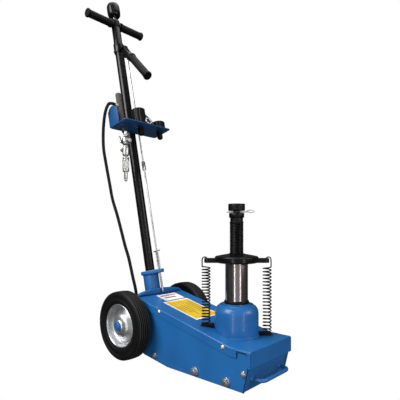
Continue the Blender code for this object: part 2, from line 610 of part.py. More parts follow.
def lever_group():
    """The latch lever: a clamp with two ears on the tube, the lever in them, and its grip."""
    px, pz = LEVER_PIVOT
    clamp = sleeve("lever_bracket", TUBE_RADIUS + GAP, 0.0176, pz - 0.010, pz + 0.024, BLACK_GLOSS, in_handle(),
                   handle_frame, 24)
    for side in (-1, 1):
        ear = [(0.0100, pz + 0.022), (0.0100, pz - 0.009), (px - 0.004, pz - 0.0100)] + arc(px, pz, 0.0095, 280, 410, 7)
        join(clamp, outline(f"bracket_ear_{side}", [ear], 0.0035, None,
                            in_handle(0, side * 0.0112, 0, SIDE_VIEW), handle_frame, cutters))
    cut(clamp, rod("bracket_bore", TUBE_RADIUS + GAP, 0.8, 1.1, None, in_handle(), handle_frame, 24, collection=cutters))
    join(clamp, rod("bracket_pin", 0.0034, -0.0155, 0.0155, None, in_handle(px, 0, pz, ALONG_Y), handle_frame, 12,
                    collection=cutters))
    tail = rod("bracket_bolt", 0.0050, -0.0270, -0.0170, None, in_handle(0, 0, pz + 0.0100, ALONG_X), handle_frame, 10,
               collection=cutters)
    join(clamp, tail)

    lever_turn = Matrix.Rotation(LEVER_DROP, 4, "Y")
    along = in_handle(px, 0, pz, lever_turn @ ALONG_X)
    lever = rod("lock_lever", 0.0080, 0.0440, 0.1830, BLACK_GLOSS, along, handle_frame, 16)
    for side in (-1, 1):
        cheek = [(0.0620, 0.0065), (0.0100, 0.0085)] + arc(0, 0, 0.0062, 110, 260, 6)
        cheek += [(0.0220, -0.0180), (0.0450, -0.0180), (0.0620, -0.0065)]
        join(lever, outline(f"lever_cheek_{side}", [cheek, circle(0, 0, 0.0037, 12)], 0.0032, None,
                            in_handle(px, side * 0.0068, pz, lever_turn @ SIDE_VIEW), handle_frame, cutters))
    inner = 0.0080 + GAP
    grip = [(0, 0.1885), (0.0130, 0.1885), (0.0148, 0.1865), (0.0148, 0.1820), (GRIP_RADIUS, 0.1800),
            (GRIP_RADIUS, 0.0720), (0.0148, 0.0705), (0.0148, 0.0650), (inner, 0.0650), (inner, 0.1833), (0, 0.1833)]
    turned("lever_grip", grip, RUBBER, along, handle_frame, 18)


def latch_group():
    """The thin latch rod beside the tube, with its clevis, cross pin and tip, and its spring."""
    low, high = Vector((LATCH_LOW[0], 0, LATCH_LOW[1])), Vector((LATCH_HIGH[0], 0, LATCH_HIGH[1]))
    slope = (high - low).to_track_quat("Z", "Y").to_matrix().to_4x4()
    place = Matrix.Translation(low) @ slope
    length = (high - low).length
    profile = [(0, length), (0.0025, length), (0.0025, 0.0), (0.0034, -0.002), (0.0034, -0.0520),
               (0.0022, -0.0562), (0, -0.0562)]
    latch = turned("latch_rod", profile, ZINC, place, handle_frame, 12)
    join(latch, block("latch_clevis", (-0.0055, -0.0040, 0.3450), (0.0055, 0.0040, 0.3750), None, 0.001,
                      place, handle_frame, cutters))
    join(latch, rod("latch_cross_pin", 0.0018, -0.0150, 0.0150, None, place @ at(0, 0, 0.0740, ALONG_Y),
                    handle_frame, 8, collection=cutters))
    turns, per_turn, start, end = 12, 8, 0.0185, 0.0706
    helix = []
    for i in range(turns * per_turn + 1):
        angle = 2 * math.pi * i / per_turn
        helix.append((0.0047 * math.cos(angle), 0.0047 * math.sin(angle),
                      start + (end - start) * i / (turns * per_turn)))
    wire("latch_spring", helix, 0.0008, ZINC, place, handle_frame, sides=1)


def tool_tray():
    """The folded tray: floor with two adapter holes, a tall near end, a low back and a far gusset."""
    floor = block("tool_tray", (TRAY_REAR, TRAY_NEAR_Y, TRAY_Z - SHEET), (TRAY_FRONT, TRAY_FAR_Y, TRAY_Z), BLUE,
                  0.0, in_handle(), handle_frame)
    near = [(TRAY_REAR, TRAY_Z - 0.001), (TRAY_REAR, 0.6700)] + arc(0.0400, 0.6600, 0.0245, 150, 20, 7)
    near += [(0.0650, 0.6400), (0.0650, TRAY_Z - 0.001)]
    join(floor, outline("tray_near_end", [near], SHEET, None,
                        in_handle(0, TRAY_NEAR_Y + SHEET / 2, 0, SIDE_VIEW), handle_frame, cutters))
    gusset = [(TRAY_REAR, TRAY_Z - 0.001), (TRAY_REAR, 0.7030), (0.0300, 0.6970), (0.0460, 0.6830), (0.0710, 0.6490),
              (0.0780, TRAY_Z - 0.001)]
    join(floor, outline("tray_gusset", [gusset], SHEET, None,
                        in_handle(0, 0.0400, 0, SIDE_VIEW), handle_frame, cutters))
    join(floor, block("tray_back", (TRAY_REAR, -0.0950, TRAY_Z - 0.001), (TRAY_REAR + SHEET, 0.0600, 0.6500), None, 0.0,
                      in_handle(), handle_frame, cutters))
    for name, (x, y) in ADAPTERS.items():
        cut(floor, rod(f"tray_hole_{name}", STEM_RADIUS + 0.0006, 0.5, 0.9, None,
                       in_handle(x, y, 0), handle_frame, 20, collection=cutters))
    cut(floor, rod("tray_latch_hole", 0.0050, 0.5, 0.9, None, in_handle(0.0406, 0, 0), handle_frame, 14,
                   collection=cutters))
    cut(floor, rod("tray_valve_hole", 0.0066, 0.5, 0.9, None, in_handle(0.0350, -0.0600, 0), handle_frame, 16,
                   collection=cutters))
    return floor


def adapter(name, place, head_height):
    """A loose saddle extension standing in the tray by its stem."""
    low = TRAY_Z + GAP
    profile = [(0, low + head_height), (0.0215, low + head_height), (0.0225, low + head_height - 0.001),
               (0.0225, low), (STEM_RADIUS, low), (STEM_RADIUS, low - 0.0260), (0.0060, low - 0.0300), (0, low - 0.0300)]
    return turned(name, profile, BLACK_OXIDE, in_handle(*place), handle_frame, 24)


def air_valve():
    """The air control valve in the tray, the inlet fittings hung below it, and the coupler."""
    body = turned("air_valve", [(0, 0.7400), (0.0070, 0.7400), (0.0095, 0.7370), (0.0095, TRAY_Z + GAP),
                                (0.0062, TRAY_Z + GAP), (0.0062, 0.6080), (0, 0.6080)],
                  GREY_RUBBER, in_handle(0.0350, -0.0600, 0), handle_frame, 20)
    join(body, prism("valve_outlet", 0.0065, 0.0050, 0.0180, 6, None,
                     in_handle(0.0350, -0.0600, 0.6960, Matrix.Rotation(math.radians(90), 4, "X")), handle_frame, cutters))
    return body


INLET_X, INLET_Y = -0.4000, -0.0600


def inlet_fittings():
    """A plumb stack of fittings under the valve: elbow, shut-off body, hex and coupler socket."""
    stack = turned("inlet_fittings", [(0, 0.6985), (0.0055, 0.6985), (0.0055, 0.6900), (0.0085, 0.6890),
                                      (0.0085, 0.6790), (0.0120, 0.6770), (0.0120, 0.6560), (0.0085, 0.6540),
                                      (0.0085, 0.6460), (0.0110, 0.6450), (0.0110, 0.6200), (0.0060, 0.6190),
                                      (0.0060, 0.5470), (0.0045, 0.5370), (0, 0.5370)],
                   BRASS, at(INLET_X, INLET_Y, 0), steps=16)
    cross = rod("shut_off_body", 0.0075, -0.0190, 0.0230, None, at(INLET_X, INLET_Y, 0.6665, ALONG_X), steps=12,
                collection=cutters)
    join(stack, cross)
    sleeve("coupler_sleeve", 0.0063, 0.0108, 0.5680, 0.6150, ZINC, at(INLET_X, INLET_Y, 0), steps=20)
    lever = wire("shut_off_lever", [(-0.0213, 0, 0.0), (-0.0250, 0, 0.0), (-0.0290, 0, 0.0080), (-0.0350, 0, 0.0200)],
                 0.0030, ZINC, at(INLET_X, INLET_Y, 0.6665), sides=2)
    return lever


# ---------------------------------------------------------------- air hose

HOSE_ROUTE = [(-0.4324, -0.0790, 0.7875), (-0.4330, -0.0900, 0.7880), (-0.4360, -0.1010, 0.7840),
              (-0.4420, -0.1075, 0.7640), (-0.4500, -0.1085, 0.7350), (-0.4570, -0.1070, 0.6950),
              (-0.4610, -0.1030, 0.6450), (-0.4570, -0.0960, 0.5930), (-0.4480, -0.0880, 0.5270),
              (-0.4390, -0.0840, 0.4800), (-0.4200, -0.0800, 0.4300), (-0.4050, -0.0750, 0.3800),
              (-0.3910, -0.0700, 0.3300), (-0.3770, -0.0660, 0.2900), (-0.3620, -0.0620, 0.2330),
              (-0.3500, -0.0600, 0.1930), (-0.3445, -0.0590, 0.1600)]


def air_hose():
    """The hose from the valve, over the tray's end and down to the air motor's pipe."""
    route = smooth_route(HOSE_ROUTE, 40)
    return wire("air_hose", [tuple(p) for p in route], HOSE_RADIUS, RUBBER, sides=3)


def hose_pipe():
    """A bent pipe from the air motor's cap, over the axle, to the hose's lower end."""
    route = [(MOTOR_REAR_X - 0.0104, -0.0550, 0.0930), (-0.2700, -0.0550, 0.0930), (-0.2900, -0.0560, 0.1120),
             (-0.3150, -0.0570, 0.1300), (-0.3380, -0.0585, 0.1380), (-0.3445, -0.0590, 0.1470),
             (-0.3445, -0.0590, 0.1580)]
    return wire("hose_inlet_pipe", route, 0.0058, BRASS, sides=2)


for plate_name, plate_side in (("side_plate_right", -1), ("side_plate_left", 1)):
    side_plate(plate_name, plate_side)
top_cover()
for bolt_name, (bolt_x, bolt_z) in THROUGH_BOLTS.items():
    through_bolt(bolt_name, bolt_x, bolt_z, THROUGH_RADIUS, 0.0112, 0.0080)
for bolt_name, (bolt_x, bolt_z) in STAY_BOLTS.items():
    through_bolt(bolt_name, bolt_x, bolt_z, STAY_RADIUS, 0.0072, 0.0055)
for screw_place, (screw_x, screw_z) in COVER_SCREWS.items():
    cover_screw(f"cover_screw_{screw_place}_right", screw_x, screw_z, -1)
    cover_screw(f"cover_screw_{screw_place}_left", screw_x, screw_z, 1)
rear_bridge()
base_block()
front_bar()
axle()
wheel("right", -1)
wheel("left", 1)
hydraulic_unit()
spring_lug("spring_lug_rear", -1, REAR_LUG_Z, 0.0060)
spring_lug("spring_lug_front", 1, FRONT_LUG_Z, 0.0)
air_motor()
release_valve()
ram_group()
return_spring("return_spring_rear", -1, REAR_LUG_Z)
return_spring("return_spring_front", 1, FRONT_LUG_Z)
screw_and_saddle()
handle_socket()
handle_top()
release_group()
lever_group()
latch_group()
tool_tray()
adapter("adapter_long", ADAPTERS["long"], 0.0580)
adapter("adapter_short", ADAPTERS["short"], 0.0290)
air_valve()
inlet_fittings()
air_hose()
hose_pipe()
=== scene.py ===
# %% [markdown]
# # An air-over-hydraulic axle jack
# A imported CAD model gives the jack's sizes, its joints and its bodies. This script builds the
# visible surfaces around that frame: folded blue sheet, bright plated rims, a ground ram, dark
# springs, a black handle with its tray of tools, and the air hose.
# Everything is in metres. +X points to the ram end, +Y to the jack's left, +Z up.

# %% Load the frame
import math

import bmesh
import bpy
from mathutils import Matrix, Vector


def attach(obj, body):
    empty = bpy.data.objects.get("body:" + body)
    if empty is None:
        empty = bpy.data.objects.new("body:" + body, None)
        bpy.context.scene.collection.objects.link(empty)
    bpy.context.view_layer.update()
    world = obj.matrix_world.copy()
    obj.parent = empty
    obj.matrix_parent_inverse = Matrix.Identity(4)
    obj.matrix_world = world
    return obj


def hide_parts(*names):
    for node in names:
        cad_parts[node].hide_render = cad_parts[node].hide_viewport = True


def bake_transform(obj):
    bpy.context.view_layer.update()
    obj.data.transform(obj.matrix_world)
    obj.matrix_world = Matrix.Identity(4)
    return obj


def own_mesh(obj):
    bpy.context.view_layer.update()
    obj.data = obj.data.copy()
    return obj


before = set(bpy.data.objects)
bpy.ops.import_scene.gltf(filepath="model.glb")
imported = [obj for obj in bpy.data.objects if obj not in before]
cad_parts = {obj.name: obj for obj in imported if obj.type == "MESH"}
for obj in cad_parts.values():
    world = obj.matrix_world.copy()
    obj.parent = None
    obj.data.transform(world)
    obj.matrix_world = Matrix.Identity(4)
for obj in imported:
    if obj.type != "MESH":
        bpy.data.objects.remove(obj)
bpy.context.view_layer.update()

# %% [markdown]
# ## Camera
# The camera stands low, at about the height of the saddle, and looks level past the jack's
# right front corner. A level camera keeps upright lines upright, and a small vertical shift
# frames the tall handle without tilting.

# %% Camera
CAMERA_PLACE = (0.6318, -0.8391, 0.3875)
CAMERA_TURN = math.radians(42.285)
camera = bpy.data.objects.new("camera", bpy.data.cameras.new("camera"))
bpy.context.scene.collection.objects.link(camera)
camera.data.sensor_width = 36.0
camera.data.lens = 35.45
camera.data.shift_y = 0.0691
camera.location = CAMERA_PLACE
camera.rotation_euler = (math.pi / 2, 0.0, CAMERA_TURN)
bpy.context.scene.camera = camera

# %% [markdown]
# ## Mesh helpers
# Most of the jack is turned, cut from plate or bent from bar, so three makers do most of the
# work: a lathe, a plate cutter and a sweep along a path. Each returns a plain mesh. Real edges
# are never sharp, so the profile's corners are rounded before it is turned.

# %% Adding a finished mesh to a body
I = Matrix()
ALONG_Y = Matrix.Rotation(math.radians(-90), 4, "X")
ALONG_MINUS_Y = Matrix.Rotation(math.radians(90), 4, "X")
ALONG_X = Matrix.Rotation(math.radians(90), 4, "Y")
SIDE_VIEW = Matrix.Rotation(math.radians(90), 4, "X")
FRONT_VIEW = Matrix(((0, 0, 1, 0), (1, 0, 0, 0), (0, 1, 0, 0), (0, 0, 0, 1)))
SIDES = {"right": -1, "left": 1}
OUTWARD = {-1: ALONG_MINUS_Y, 1: ALONG_Y}
MERGE = 0.00001


def at(x, y, z, turn=I):
    """A place, with a turn made before the move."""
    return Matrix.Translation((x, y, z)) @ turn


def add(name, mesh, finish, body, nodes=(), place=I, smooth=38.0, flat=False):
    """Put a mesh in the scene with a finish, riding on a body, in place of CAD nodes."""
    mesh.transform(place)
    if place.determinant() < 0:
        mesh.flip_normals()
    mesh.name = name
    mesh.materials.clear()
    mesh.materials.append(finish)
    mesh.shade_smooth()
    mesh.set_sharp_from_angle(angle=math.radians(smooth))
    piece = bpy.data.objects.new(name, mesh)
    bpy.context.scene.collection.objects.link(piece)
    if flat:
        piece.modifiers.new("even_faces", "WEIGHTED_NORMAL").keep_sharp = True
    if body:
        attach(piece, body)
    if nodes:
        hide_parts(*([nodes] if isinstance(nodes, str) else nodes))
    return piece


# %% Rounding a profile's corners
def rounded(points, radius, closed=False, steps=3):
    """Cut each corner back by up to radius and bridge it with a short curve."""
    points = [Vector(p) for p in points]
    count, made = len(points), []
    for i, corner in enumerate(points):
        if not closed and i in (0, count - 1):
            made.append(corner)
            continue
        before, after = points[i - 1], points[(i + 1) % count]
        to_before, to_after = before - corner, after - corner
        if to_before.length < 1e-9 or to_after.length < 1e-9:
            continue
        back = min(radius, 0.45 * to_before.length, 0.45 * to_after.length)
        start = corner + to_before.normalized() * back
        end = corner + to_after.normalized() * back
        for k in range(steps + 1):
            u = k / steps
            made.append(start * (1 - u) ** 2 + corner * 2 * u * (1 - u) + end * u ** 2)
    return made


# %% A lathe
def lathe(profile, steps=64, ring=False, edge=0.0005, wave=None):
    """Turn (radius, height) points about Z. A ring's profile is a closed loop off the axis.
    wave(angle, radius, height) may return another radius, for flutes and threads."""
    line = rounded(profile, edge, ring) if edge else [Vector(p) for p in profile]
    form = bmesh.new()
    rows = []
    for r, z in line:
        if r < 1e-7:
            rows.append([form.verts.new((0, 0, z))])
            continue
        row = []
        for k in range(steps):
            a = 2 * math.pi * k / steps
            rr = wave(a, r, z) if wave else r
            row.append(form.verts.new((rr * math.cos(a), rr * math.sin(a), z)))
        rows.append(row)
    pairs = list(zip(rows, rows[1:])) + ([(rows[-1], rows[0])] if ring else [])
    for upper, lower in pairs:
        for k in range(steps):
            j = (k + 1) % steps
            corners = [upper[k % len(upper)], lower[k % len(lower)],
                       lower[j % len(lower)], upper[j % len(upper)]]
            face = list(dict.fromkeys(corners))
            if len(face) > 2:
                form.faces.new(face)
    return finished(form)


def finished(form):
    """Weld, turn the faces outwards and return the mesh."""
    bmesh.ops.remove_doubles(form, verts=form.verts, dist=MERGE)
    bmesh.ops.recalc_face_normals(form, faces=form.faces)
    mesh = bpy.data.meshes.new("mesh")
    form.to_mesh(mesh)
    form.free()
    return mesh


# %% Plates and turned-over curves
def baked(thing):
    """The evaluated mesh of a temporary object, which is then removed."""
    bpy.context.view_layer.update()
    mesh = bpy.data.meshes.new_from_object(thing.evaluated_get(bpy.context.evaluated_depsgraph_get()))
    bpy.data.objects.remove(thing, do_unlink=True)
    form = bmesh.new()
    form.from_mesh(mesh)
    return finished(form)


def temporary(data):
    """An object for a mesh or a curve, until it is baked."""
    thing = bpy.data.objects.new("temporary", data)
    bpy.context.scene.collection.objects.link(thing)
    return thing


def plate(loops, thickness, edge=0.0006, turn=SIDE_VIEW, steps=1):
    """Cut a flat plate from 2-D loops, the first the outline, with softly broken edges."""
    curve = bpy.data.curves.new("plate", "CURVE")
    curve.dimensions = "2D"
    curve.fill_mode = "BOTH"
    curve.extrude = thickness / 2 - edge
    curve.bevel_depth = edge
    curve.bevel_resolution = steps
    curve.offset = -edge
    for loop in loops:
        spline = curve.splines.new("POLY")
        spline.points.add(len(loop) - 1)
        for point, co in zip(spline.points, loop):
            point.co = (co[0], co[1], 0, 1)
        spline.use_cyclic_u = True
    mesh = baked(temporary(curve))
    mesh.transform(turn)
    return mesh


def arc(cx, cy, radius, start, end, count):
    """Points on a circular arc, with its angles in degrees."""
    angles = [math.radians(start + (end - start) * i / (count - 1)) for i in range(count)]
    return [(cx + radius * math.cos(a), cy + radius * math.sin(a)) for a in angles]


def circle(cx, cy, radius, count=32):
    """A closed loop of points."""
    return arc(cx, cy, radius, 0, 360 - 360 / count, count)


# %% A sweep along a path
def sweep(points, radius, sides=12, closed=False):
    """A round section carried along points without twisting. radius may be a list."""
    path = [Vector(p) for p in points]
    count = len(path)
    radii = radius if isinstance(radius, (list, tuple)) else [radius] * count
    form = bmesh.new()
    rows, side = [], None
    for i, here in enumerate(path):
        ahead = path[(i + 1) % count] if closed or i < count - 1 else here
        behind = path[i - 1] if closed or i else here
        along = (ahead - behind).normalized()
        if side is None:
            side = along.orthogonal().normalized()
        side = (side - along * side.dot(along)).normalized()
        other = along.cross(side)
        angles = [2 * math.pi * k / sides for k in range(sides)]
        rows.append([form.verts.new(here + (side * math.cos(a) + other * math.sin(a)) * radii[i])
                     for a in angles])
    for upper, lower in list(zip(rows, rows[1:])) + ([(rows[-1], rows[0])] if closed else []):
        for k in range(sides):
            j = (k + 1) % sides
            form.faces.new((upper[k], upper[j], lower[j], lower[k]))
    if not closed:
        form.faces.new(rows[0])
        form.faces.new(list(reversed(rows[-1])))
    return finished(form)


def smooth_route(points, count):
    """Points evenly spread on a Catmull-Rom curve through the route."""
    knots = [Vector(p) for p in points]
    knots = [knots[0] * 2 - knots[1]] + knots + [knots[-1] * 2 - knots[-2]]
    spans = len(points) - 1
    route = []
    for i in range(count):
        place = i / (count - 1) * spans
        k = min(int(place), spans - 1)
        u = place - k
        a, b, c, d = knots[k:k + 4]
        route.append(0.5 * (2 * b + (c - a) * u + (2 * a - 5 * b + 4 * c - d) * u ** 2
                            + (3 * b - a - 3 * c + d) * u ** 3))
    return route


# %% Blocks, hexagons, cuts and joins
def brick(low, high, edge=0.001, segments=2):
    """A block between two corners with rounded edges."""
    form = bmesh.new()
    bmesh.ops.create_cube(form, size=1.0)
    size, middle = Vector(high) - Vector(low), (Vector(high) + Vector(low)) / 2
    bmesh.ops.transform(form, verts=form.verts,
                        matrix=Matrix.Translation(middle) @ Matrix.Diagonal((*size, 1)))
    if edge:
        bmesh.ops.bevel(form, geom=form.edges[:], offset=edge, segments=segments, affect="EDGES",
                        profile=0.5)
    return finished(form)


def hexagon(radius, low, high, edge=0.0006, sides=6):
    """A hex head along Z, its top corners taken off."""
    form = bmesh.new()
    bmesh.ops.create_cone(form, cap_ends=True, segments=sides, radius1=radius, radius2=radius,
                          depth=high - low)
    bmesh.ops.translate(form, verts=form.verts, vec=(0, 0, (high + low) / 2))
    bmesh.ops.bevel(form, geom=form.edges[:], offset=edge, segments=2, affect="EDGES", profile=0.5)
    return finished(form)


def combined(first, others, operation):
    """One mesh from a Boolean of several."""
    base = temporary(first)
    helpers = [temporary(other) for other in others]
    for helper in helpers:
        step = base.modifiers.new("boolean", "BOOLEAN")
        step.operation = operation
        step.object = helper
    mesh = baked(base)
    for helper in helpers:
        bpy.data.objects.remove(helper, do_unlink=True)
    return mesh


def together(*meshes):
    """Several separate shells in one mesh."""
    form = bmesh.new()
    for mesh in meshes:
        form.from_mesh(mesh)
    joined = bpy.data.meshes.new("mesh")
    form.to_mesh(joined)
    form.free()
    return joined


def moved(mesh, place):
    """The same mesh, carried to its place."""
    mesh.transform(place)
    return mesh


# %% [markdown]
# ## Writing shaders as sums
# A material is easier to read as arithmetic than as a drawing of boxes. A small class wraps a
# socket, and its operators add Math nodes, so a line such as `0.3 + 0.1 * grain` builds the
# nodes that it says. Everything else comes from one method that makes any node.

# %% A socket that does arithmetic
class Value:
    """A node's output. Sums on it add Math nodes to the same tree."""

    def __init__(self, shader, socket):
        self.shader, self.socket = shader, socket

    def math(self, operation, first, second):
        return self.shader.node("ShaderNodeMath", {"operation": operation}, {0: first, 1: second})

    def __add__(self, other):
        return self.math("ADD", self, other)

    def __sub__(self, other):
        return self.math("SUBTRACT", self, other)

    def __rsub__(self, other):
        return self.math("SUBTRACT", other, self)

    def __mul__(self, other):
        return self.math("MULTIPLY", self, other)

    __radd__, __rmul__ = __add__, __mul__


# %% A material and its one node maker
class Shader:
    """A new material with a Principled shader, filled in by name."""

    def __init__(self, name, slot=None, **fixed):
        self.material = bpy.data.materials.new(name)
        self.material.use_nodes = True
        self.tree = self.material.node_tree
        self.surface = self.tree.nodes["Principled BSDF"]
        if slot:
            self.material["slot"] = slot
        for socket, value in fixed.items():
            self.set(socket.replace("_", " ").title().replace("Ior", "IOR"), value)

    def set(self, socket, value):
        """Give one of the surface's inputs a number, a colour or a node's output."""
        self.plug(self.surface.inputs[socket], value)

    def plug(self, socket, value):
        """Link a value to a socket, or write it there."""
        if isinstance(value, Value):
            self.tree.links.new(value.socket, socket)
        elif socket.type == "RGBA" and len(value) == 3:
            socket.default_value = (*value, 1.0)
        else:
            socket.default_value = value

    def node(self, kind, settings=None, sockets=None, out=0):
        """Make a node, set it up and return one of its outputs."""
        made = self.tree.nodes.new(kind)
        for name, value in (settings or {}).items():
            setattr(made, name, value)
        for name, value in (sockets or {}).items():
            self.plug(made.inputs[name], value)
        return Value(self, made.outputs[out])

    def place(self):
        """The point on the surface, in the object's own frame."""
        return self.node("ShaderNodeTexCoord", out="Object")

    def stretched(self, scale):
        """The same point with each axis scaled, for grain that runs one way."""
        return self.node("ShaderNodeVectorMath", {"operation": "MULTIPLY"}, {0: self.place(), 1: scale})

    def grain(self, scale, detail=3.0, vector=None, roughness=0.5):
        """Soft noise around 0.5."""
        return self.node("ShaderNodeTexNoise", None, {"Vector": vector or self.place(), "Scale": scale,
                                                      "Detail": detail, "Roughness": roughness})

    def between(self, low, high, share):
        """A colour between two others."""
        return self.node("ShaderNodeMix", {"data_type": "RGBA"},
                         {"Factor": share, 6: (*low, 1.0), 7: (*high, 1.0)}, out=2)

    def spread(self, value, low, high):
        """Stretch low to high over 0 to 1, and hold it there."""
        return self.node("ShaderNodeMapRange", {"clamp": True},
                         {"Value": value, "From Min": low, "From Max": high, "To Min": 0.0, "To Max": 1.0})

    def bump(self, height, strength, distance):
        """Tilt the surface by a height, without moving it."""
        self.set("Normal", self.node("ShaderNodeBump", None, {"Height": height, "Strength": strength,
                                                              "Distance": distance}))


# %% [markdown]
# ## Finishes
# The blue is a sprayed enamel: an even colour with a slight orange-peel ripple and a few duller
# patches. The black parts are either glossy paint or oiled, blackened steel. Zinc plate is
# bright with cloudy patches, and rubber is matt with a fine grain.

# %% Paint
def enamel(name, slot, colour, gloss, ripple=0.25, cloud=0.10, shine=0.5, film=0.25):
    """Sprayed paint: a faint cloudiness in colour and gloss, and orange peel in the clear film."""
    s = Shader(name, slot, specular_ior_level=shine, coat_roughness=0.12)
    patches = s.grain(9.0, 4.0)
    fine = s.grain(140.0, 2.0)
    light = tuple(min(1.0, c * (1 + 1.6 * cloud) + 0.001) for c in colour)
    dark = tuple(c * (1 - cloud) for c in colour)
    s.set("Base Color", s.between(dark, light, s.spread(patches, 0.3, 0.7)))
    s.set("Roughness", gloss + 0.10 * (patches - 0.5) + 0.05 * fine)
    s.set("Coat Weight", film)
    s.bump(s.grain(420.0, 1.0), ripple, 0.0002)
    return s.material


blue = enamel("blue_enamel", "blue_paint", (0.0120, 0.118, 0.350), 0.38, shine=0.35)
black = enamel("black_gloss_paint", "black_paint", (0.0026, 0.0026, 0.0034), 0.24, cloud=0.2, shine=0.20,
               film=0.08)
# Painted shade: a darker copy of the blue enamel for the tray, which the camera sees from below in shade.
shaded_tray_blue = enamel("shaded_blue", "blue_paint", (0.0060, 0.0680, 0.2050), 0.40, shine=0.3)

# %% Rough cast blue, for the block
cast_blue = Shader("painted_casting", "blue_paint")
cast_skin = cast_blue.grain(260.0, 5.0)
cast_blue.set("Base Color", cast_blue.between((0.009, 0.090, 0.270), (0.014, 0.125, 0.360),
                                              cast_blue.spread(cast_skin, 0.3, 0.7)))
cast_blue.set("Roughness", 0.42 + 0.16 * cast_skin)
cast_blue.bump(cast_skin, 0.5, 0.0005)
cast_blue = cast_blue.material


# %% Plain metals with clouding and fine turning marks
def metal(name, slot, colour, rough, clouding=0.12, scale=(60, 60, 60), marks=0.0, dirt=(0.5, 0.5, 0.5)):
    """Bare or plated metal. scale stretches the fine marks, so they can run round or along."""
    s = Shader(name, slot, metallic=1.0)
    patches = s.grain(24.0, 5.0)
    lines = s.grain(1.0, 3.0, s.stretched(scale))
    low = tuple(c * d for c, d in zip(colour, dirt))
    s.set("Base Color", s.between(low, colour, s.spread(patches, 0.22, 0.50)))
    s.set("Roughness", rough + clouding * (1.0 - s.spread(patches, 0.3, 0.7)) + 0.08 * lines)
    if marks:
        s.bump(lines, marks, 0.0001)
    return s.material


zinc = metal("zinc_plate", "zinc", (0.46, 0.45, 0.44), 0.26, 0.14, dirt=(0.62, 0.62, 0.62))
bright_zinc = metal("bright_rod", "zinc", (0.50, 0.49, 0.47), 0.25, 0.12, dirt=(0.35, 0.34, 0.32))
pressed_rim = metal("pressed_rim", "zinc", (0.66, 0.67, 0.68), 0.30, 0.12, (90, 90, 90), 0.04,
                    (0.86, 0.86, 0.87))
ground = metal("ground_ram", "ground_steel", (0.36, 0.325, 0.315), 0.13, 0.04, (8, 8, 900), 0.12,
               (0.82, 0.80, 0.80))
brass = metal("yellow_plate", "brass", (0.86, 0.78, 0.56), 0.30, 0.14, dirt=(0.75, 0.70, 0.60))
cream = metal("clip_ring", "brass", (0.88, 0.80, 0.62), 0.36, 0.10, dirt=(0.85, 0.80, 0.70))
oxide = metal("blackened_steel", "black_oxide", (0.020, 0.0195, 0.020), 0.32, 0.16, (260, 260, 260), 0.10)


# %% Rubber and moulded plastic
def rubber_like(name, slot, colour, rough, bump_scale, strength):
    """A matt skin with a fine grain and a slight bloom."""
    s = Shader(name, slot, specular_ior_level=0.16)
    skin = s.grain(bump_scale, 3.0)
    bloom = s.spread(s.grain(16.0, 4.0), 0.42, 0.75)
    s.set("Base Color", s.between(colour, tuple(c * 1.5 + 0.002 for c in colour), bloom))
    s.set("Roughness", rough + 0.12 * skin)
    s.bump(skin, strength, 0.0002)
    return s.material


rubber = rubber_like("grip_rubber", "rubber", (0.0022, 0.0022, 0.0026), 0.46, 900.0, 0.20)
hose_skin = rubber_like("hose_rubber", "rubber", (0.0028, 0.0028, 0.0030), 0.36, 700.0, 0.15)
tyre_skin = rubber_like("tyre_rubber", "tyre_rubber", (0.0034, 0.0034, 0.0036), 0.46, 500.0, 0.30)
# Painted highlight: a lighter rubber for the crowns of the tyre ribs, standing in for the light their edges
# catch.
rib_highlight_skin = rubber_like("painted_highlight_tread", "tyre_rubber", (0.0300, 0.0280, 0.0250), 0.60, 500.0, 0.30)
grey_valve = rubber_like("valve_body", "grey_rubber", (0.085, 0.078, 0.074), 0.42, 600.0, 0.20)
white_label = rubber_like("white_label", None, (0.70, 0.69, 0.69), 0.45, 300.0, 0.05)
yellow_label = rubber_like("yellow_label", None, (0.62, 0.40, 0.020), 0.45, 300.0, 0.05)
red_print = rubber_like("red_print", None, (0.42, 0.05, 0.06), 0.45, 300.0, 0.05)
grey_print = rubber_like("grey_print", None, (0.14, 0.11, 0.06), 0.45, 300.0, 0.05)

# %% [markdown]
# ## The air hose
# The hose leaves the air valve sideways, bends over the tray's end plate, hangs down behind the
# handle and goes into a pipe at the back of the body. It crosses the handle's pivot.

# %% Hose
HOSE_RADIUS = 0.005
HOSE_ROUTE = [(-0.4324, -0.0790, 0.7875), (-0.4330, -0.0900, 0.7880), (-0.4360, -0.1010, 0.7840),
              (-0.4420, -0.1075, 0.7640), (-0.4500, -0.1085, 0.7350), (-0.4570, -0.1070, 0.6950),
              (-0.4610, -0.1030, 0.6450), (-0.4570, -0.0960, 0.5930), (-0.4480, -0.0880, 0.5270),
              (-0.4390, -0.0840, 0.4800), (-0.4200, -0.0800, 0.4300), (-0.4050, -0.0750, 0.3800),
              (-0.3910, -0.0700, 0.3300), (-0.3770, -0.0660, 0.2900), (-0.3620, -0.0620, 0.2330),
              (-0.3500, -0.0600, 0.1930), (-0.3445, -0.0590, 0.1600)]
hose_path = smooth_route(HOSE_ROUTE, 140)
hose_length = sum((b - a).length for a, b in zip(hose_path, hose_path[1:]))
hose = add("air_hose_line", sweep(hose_path, HOSE_RADIUS, 16), hose_skin, None, "air_hose")
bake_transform(hose)
print("hose", round(hose_length, 3), "m")
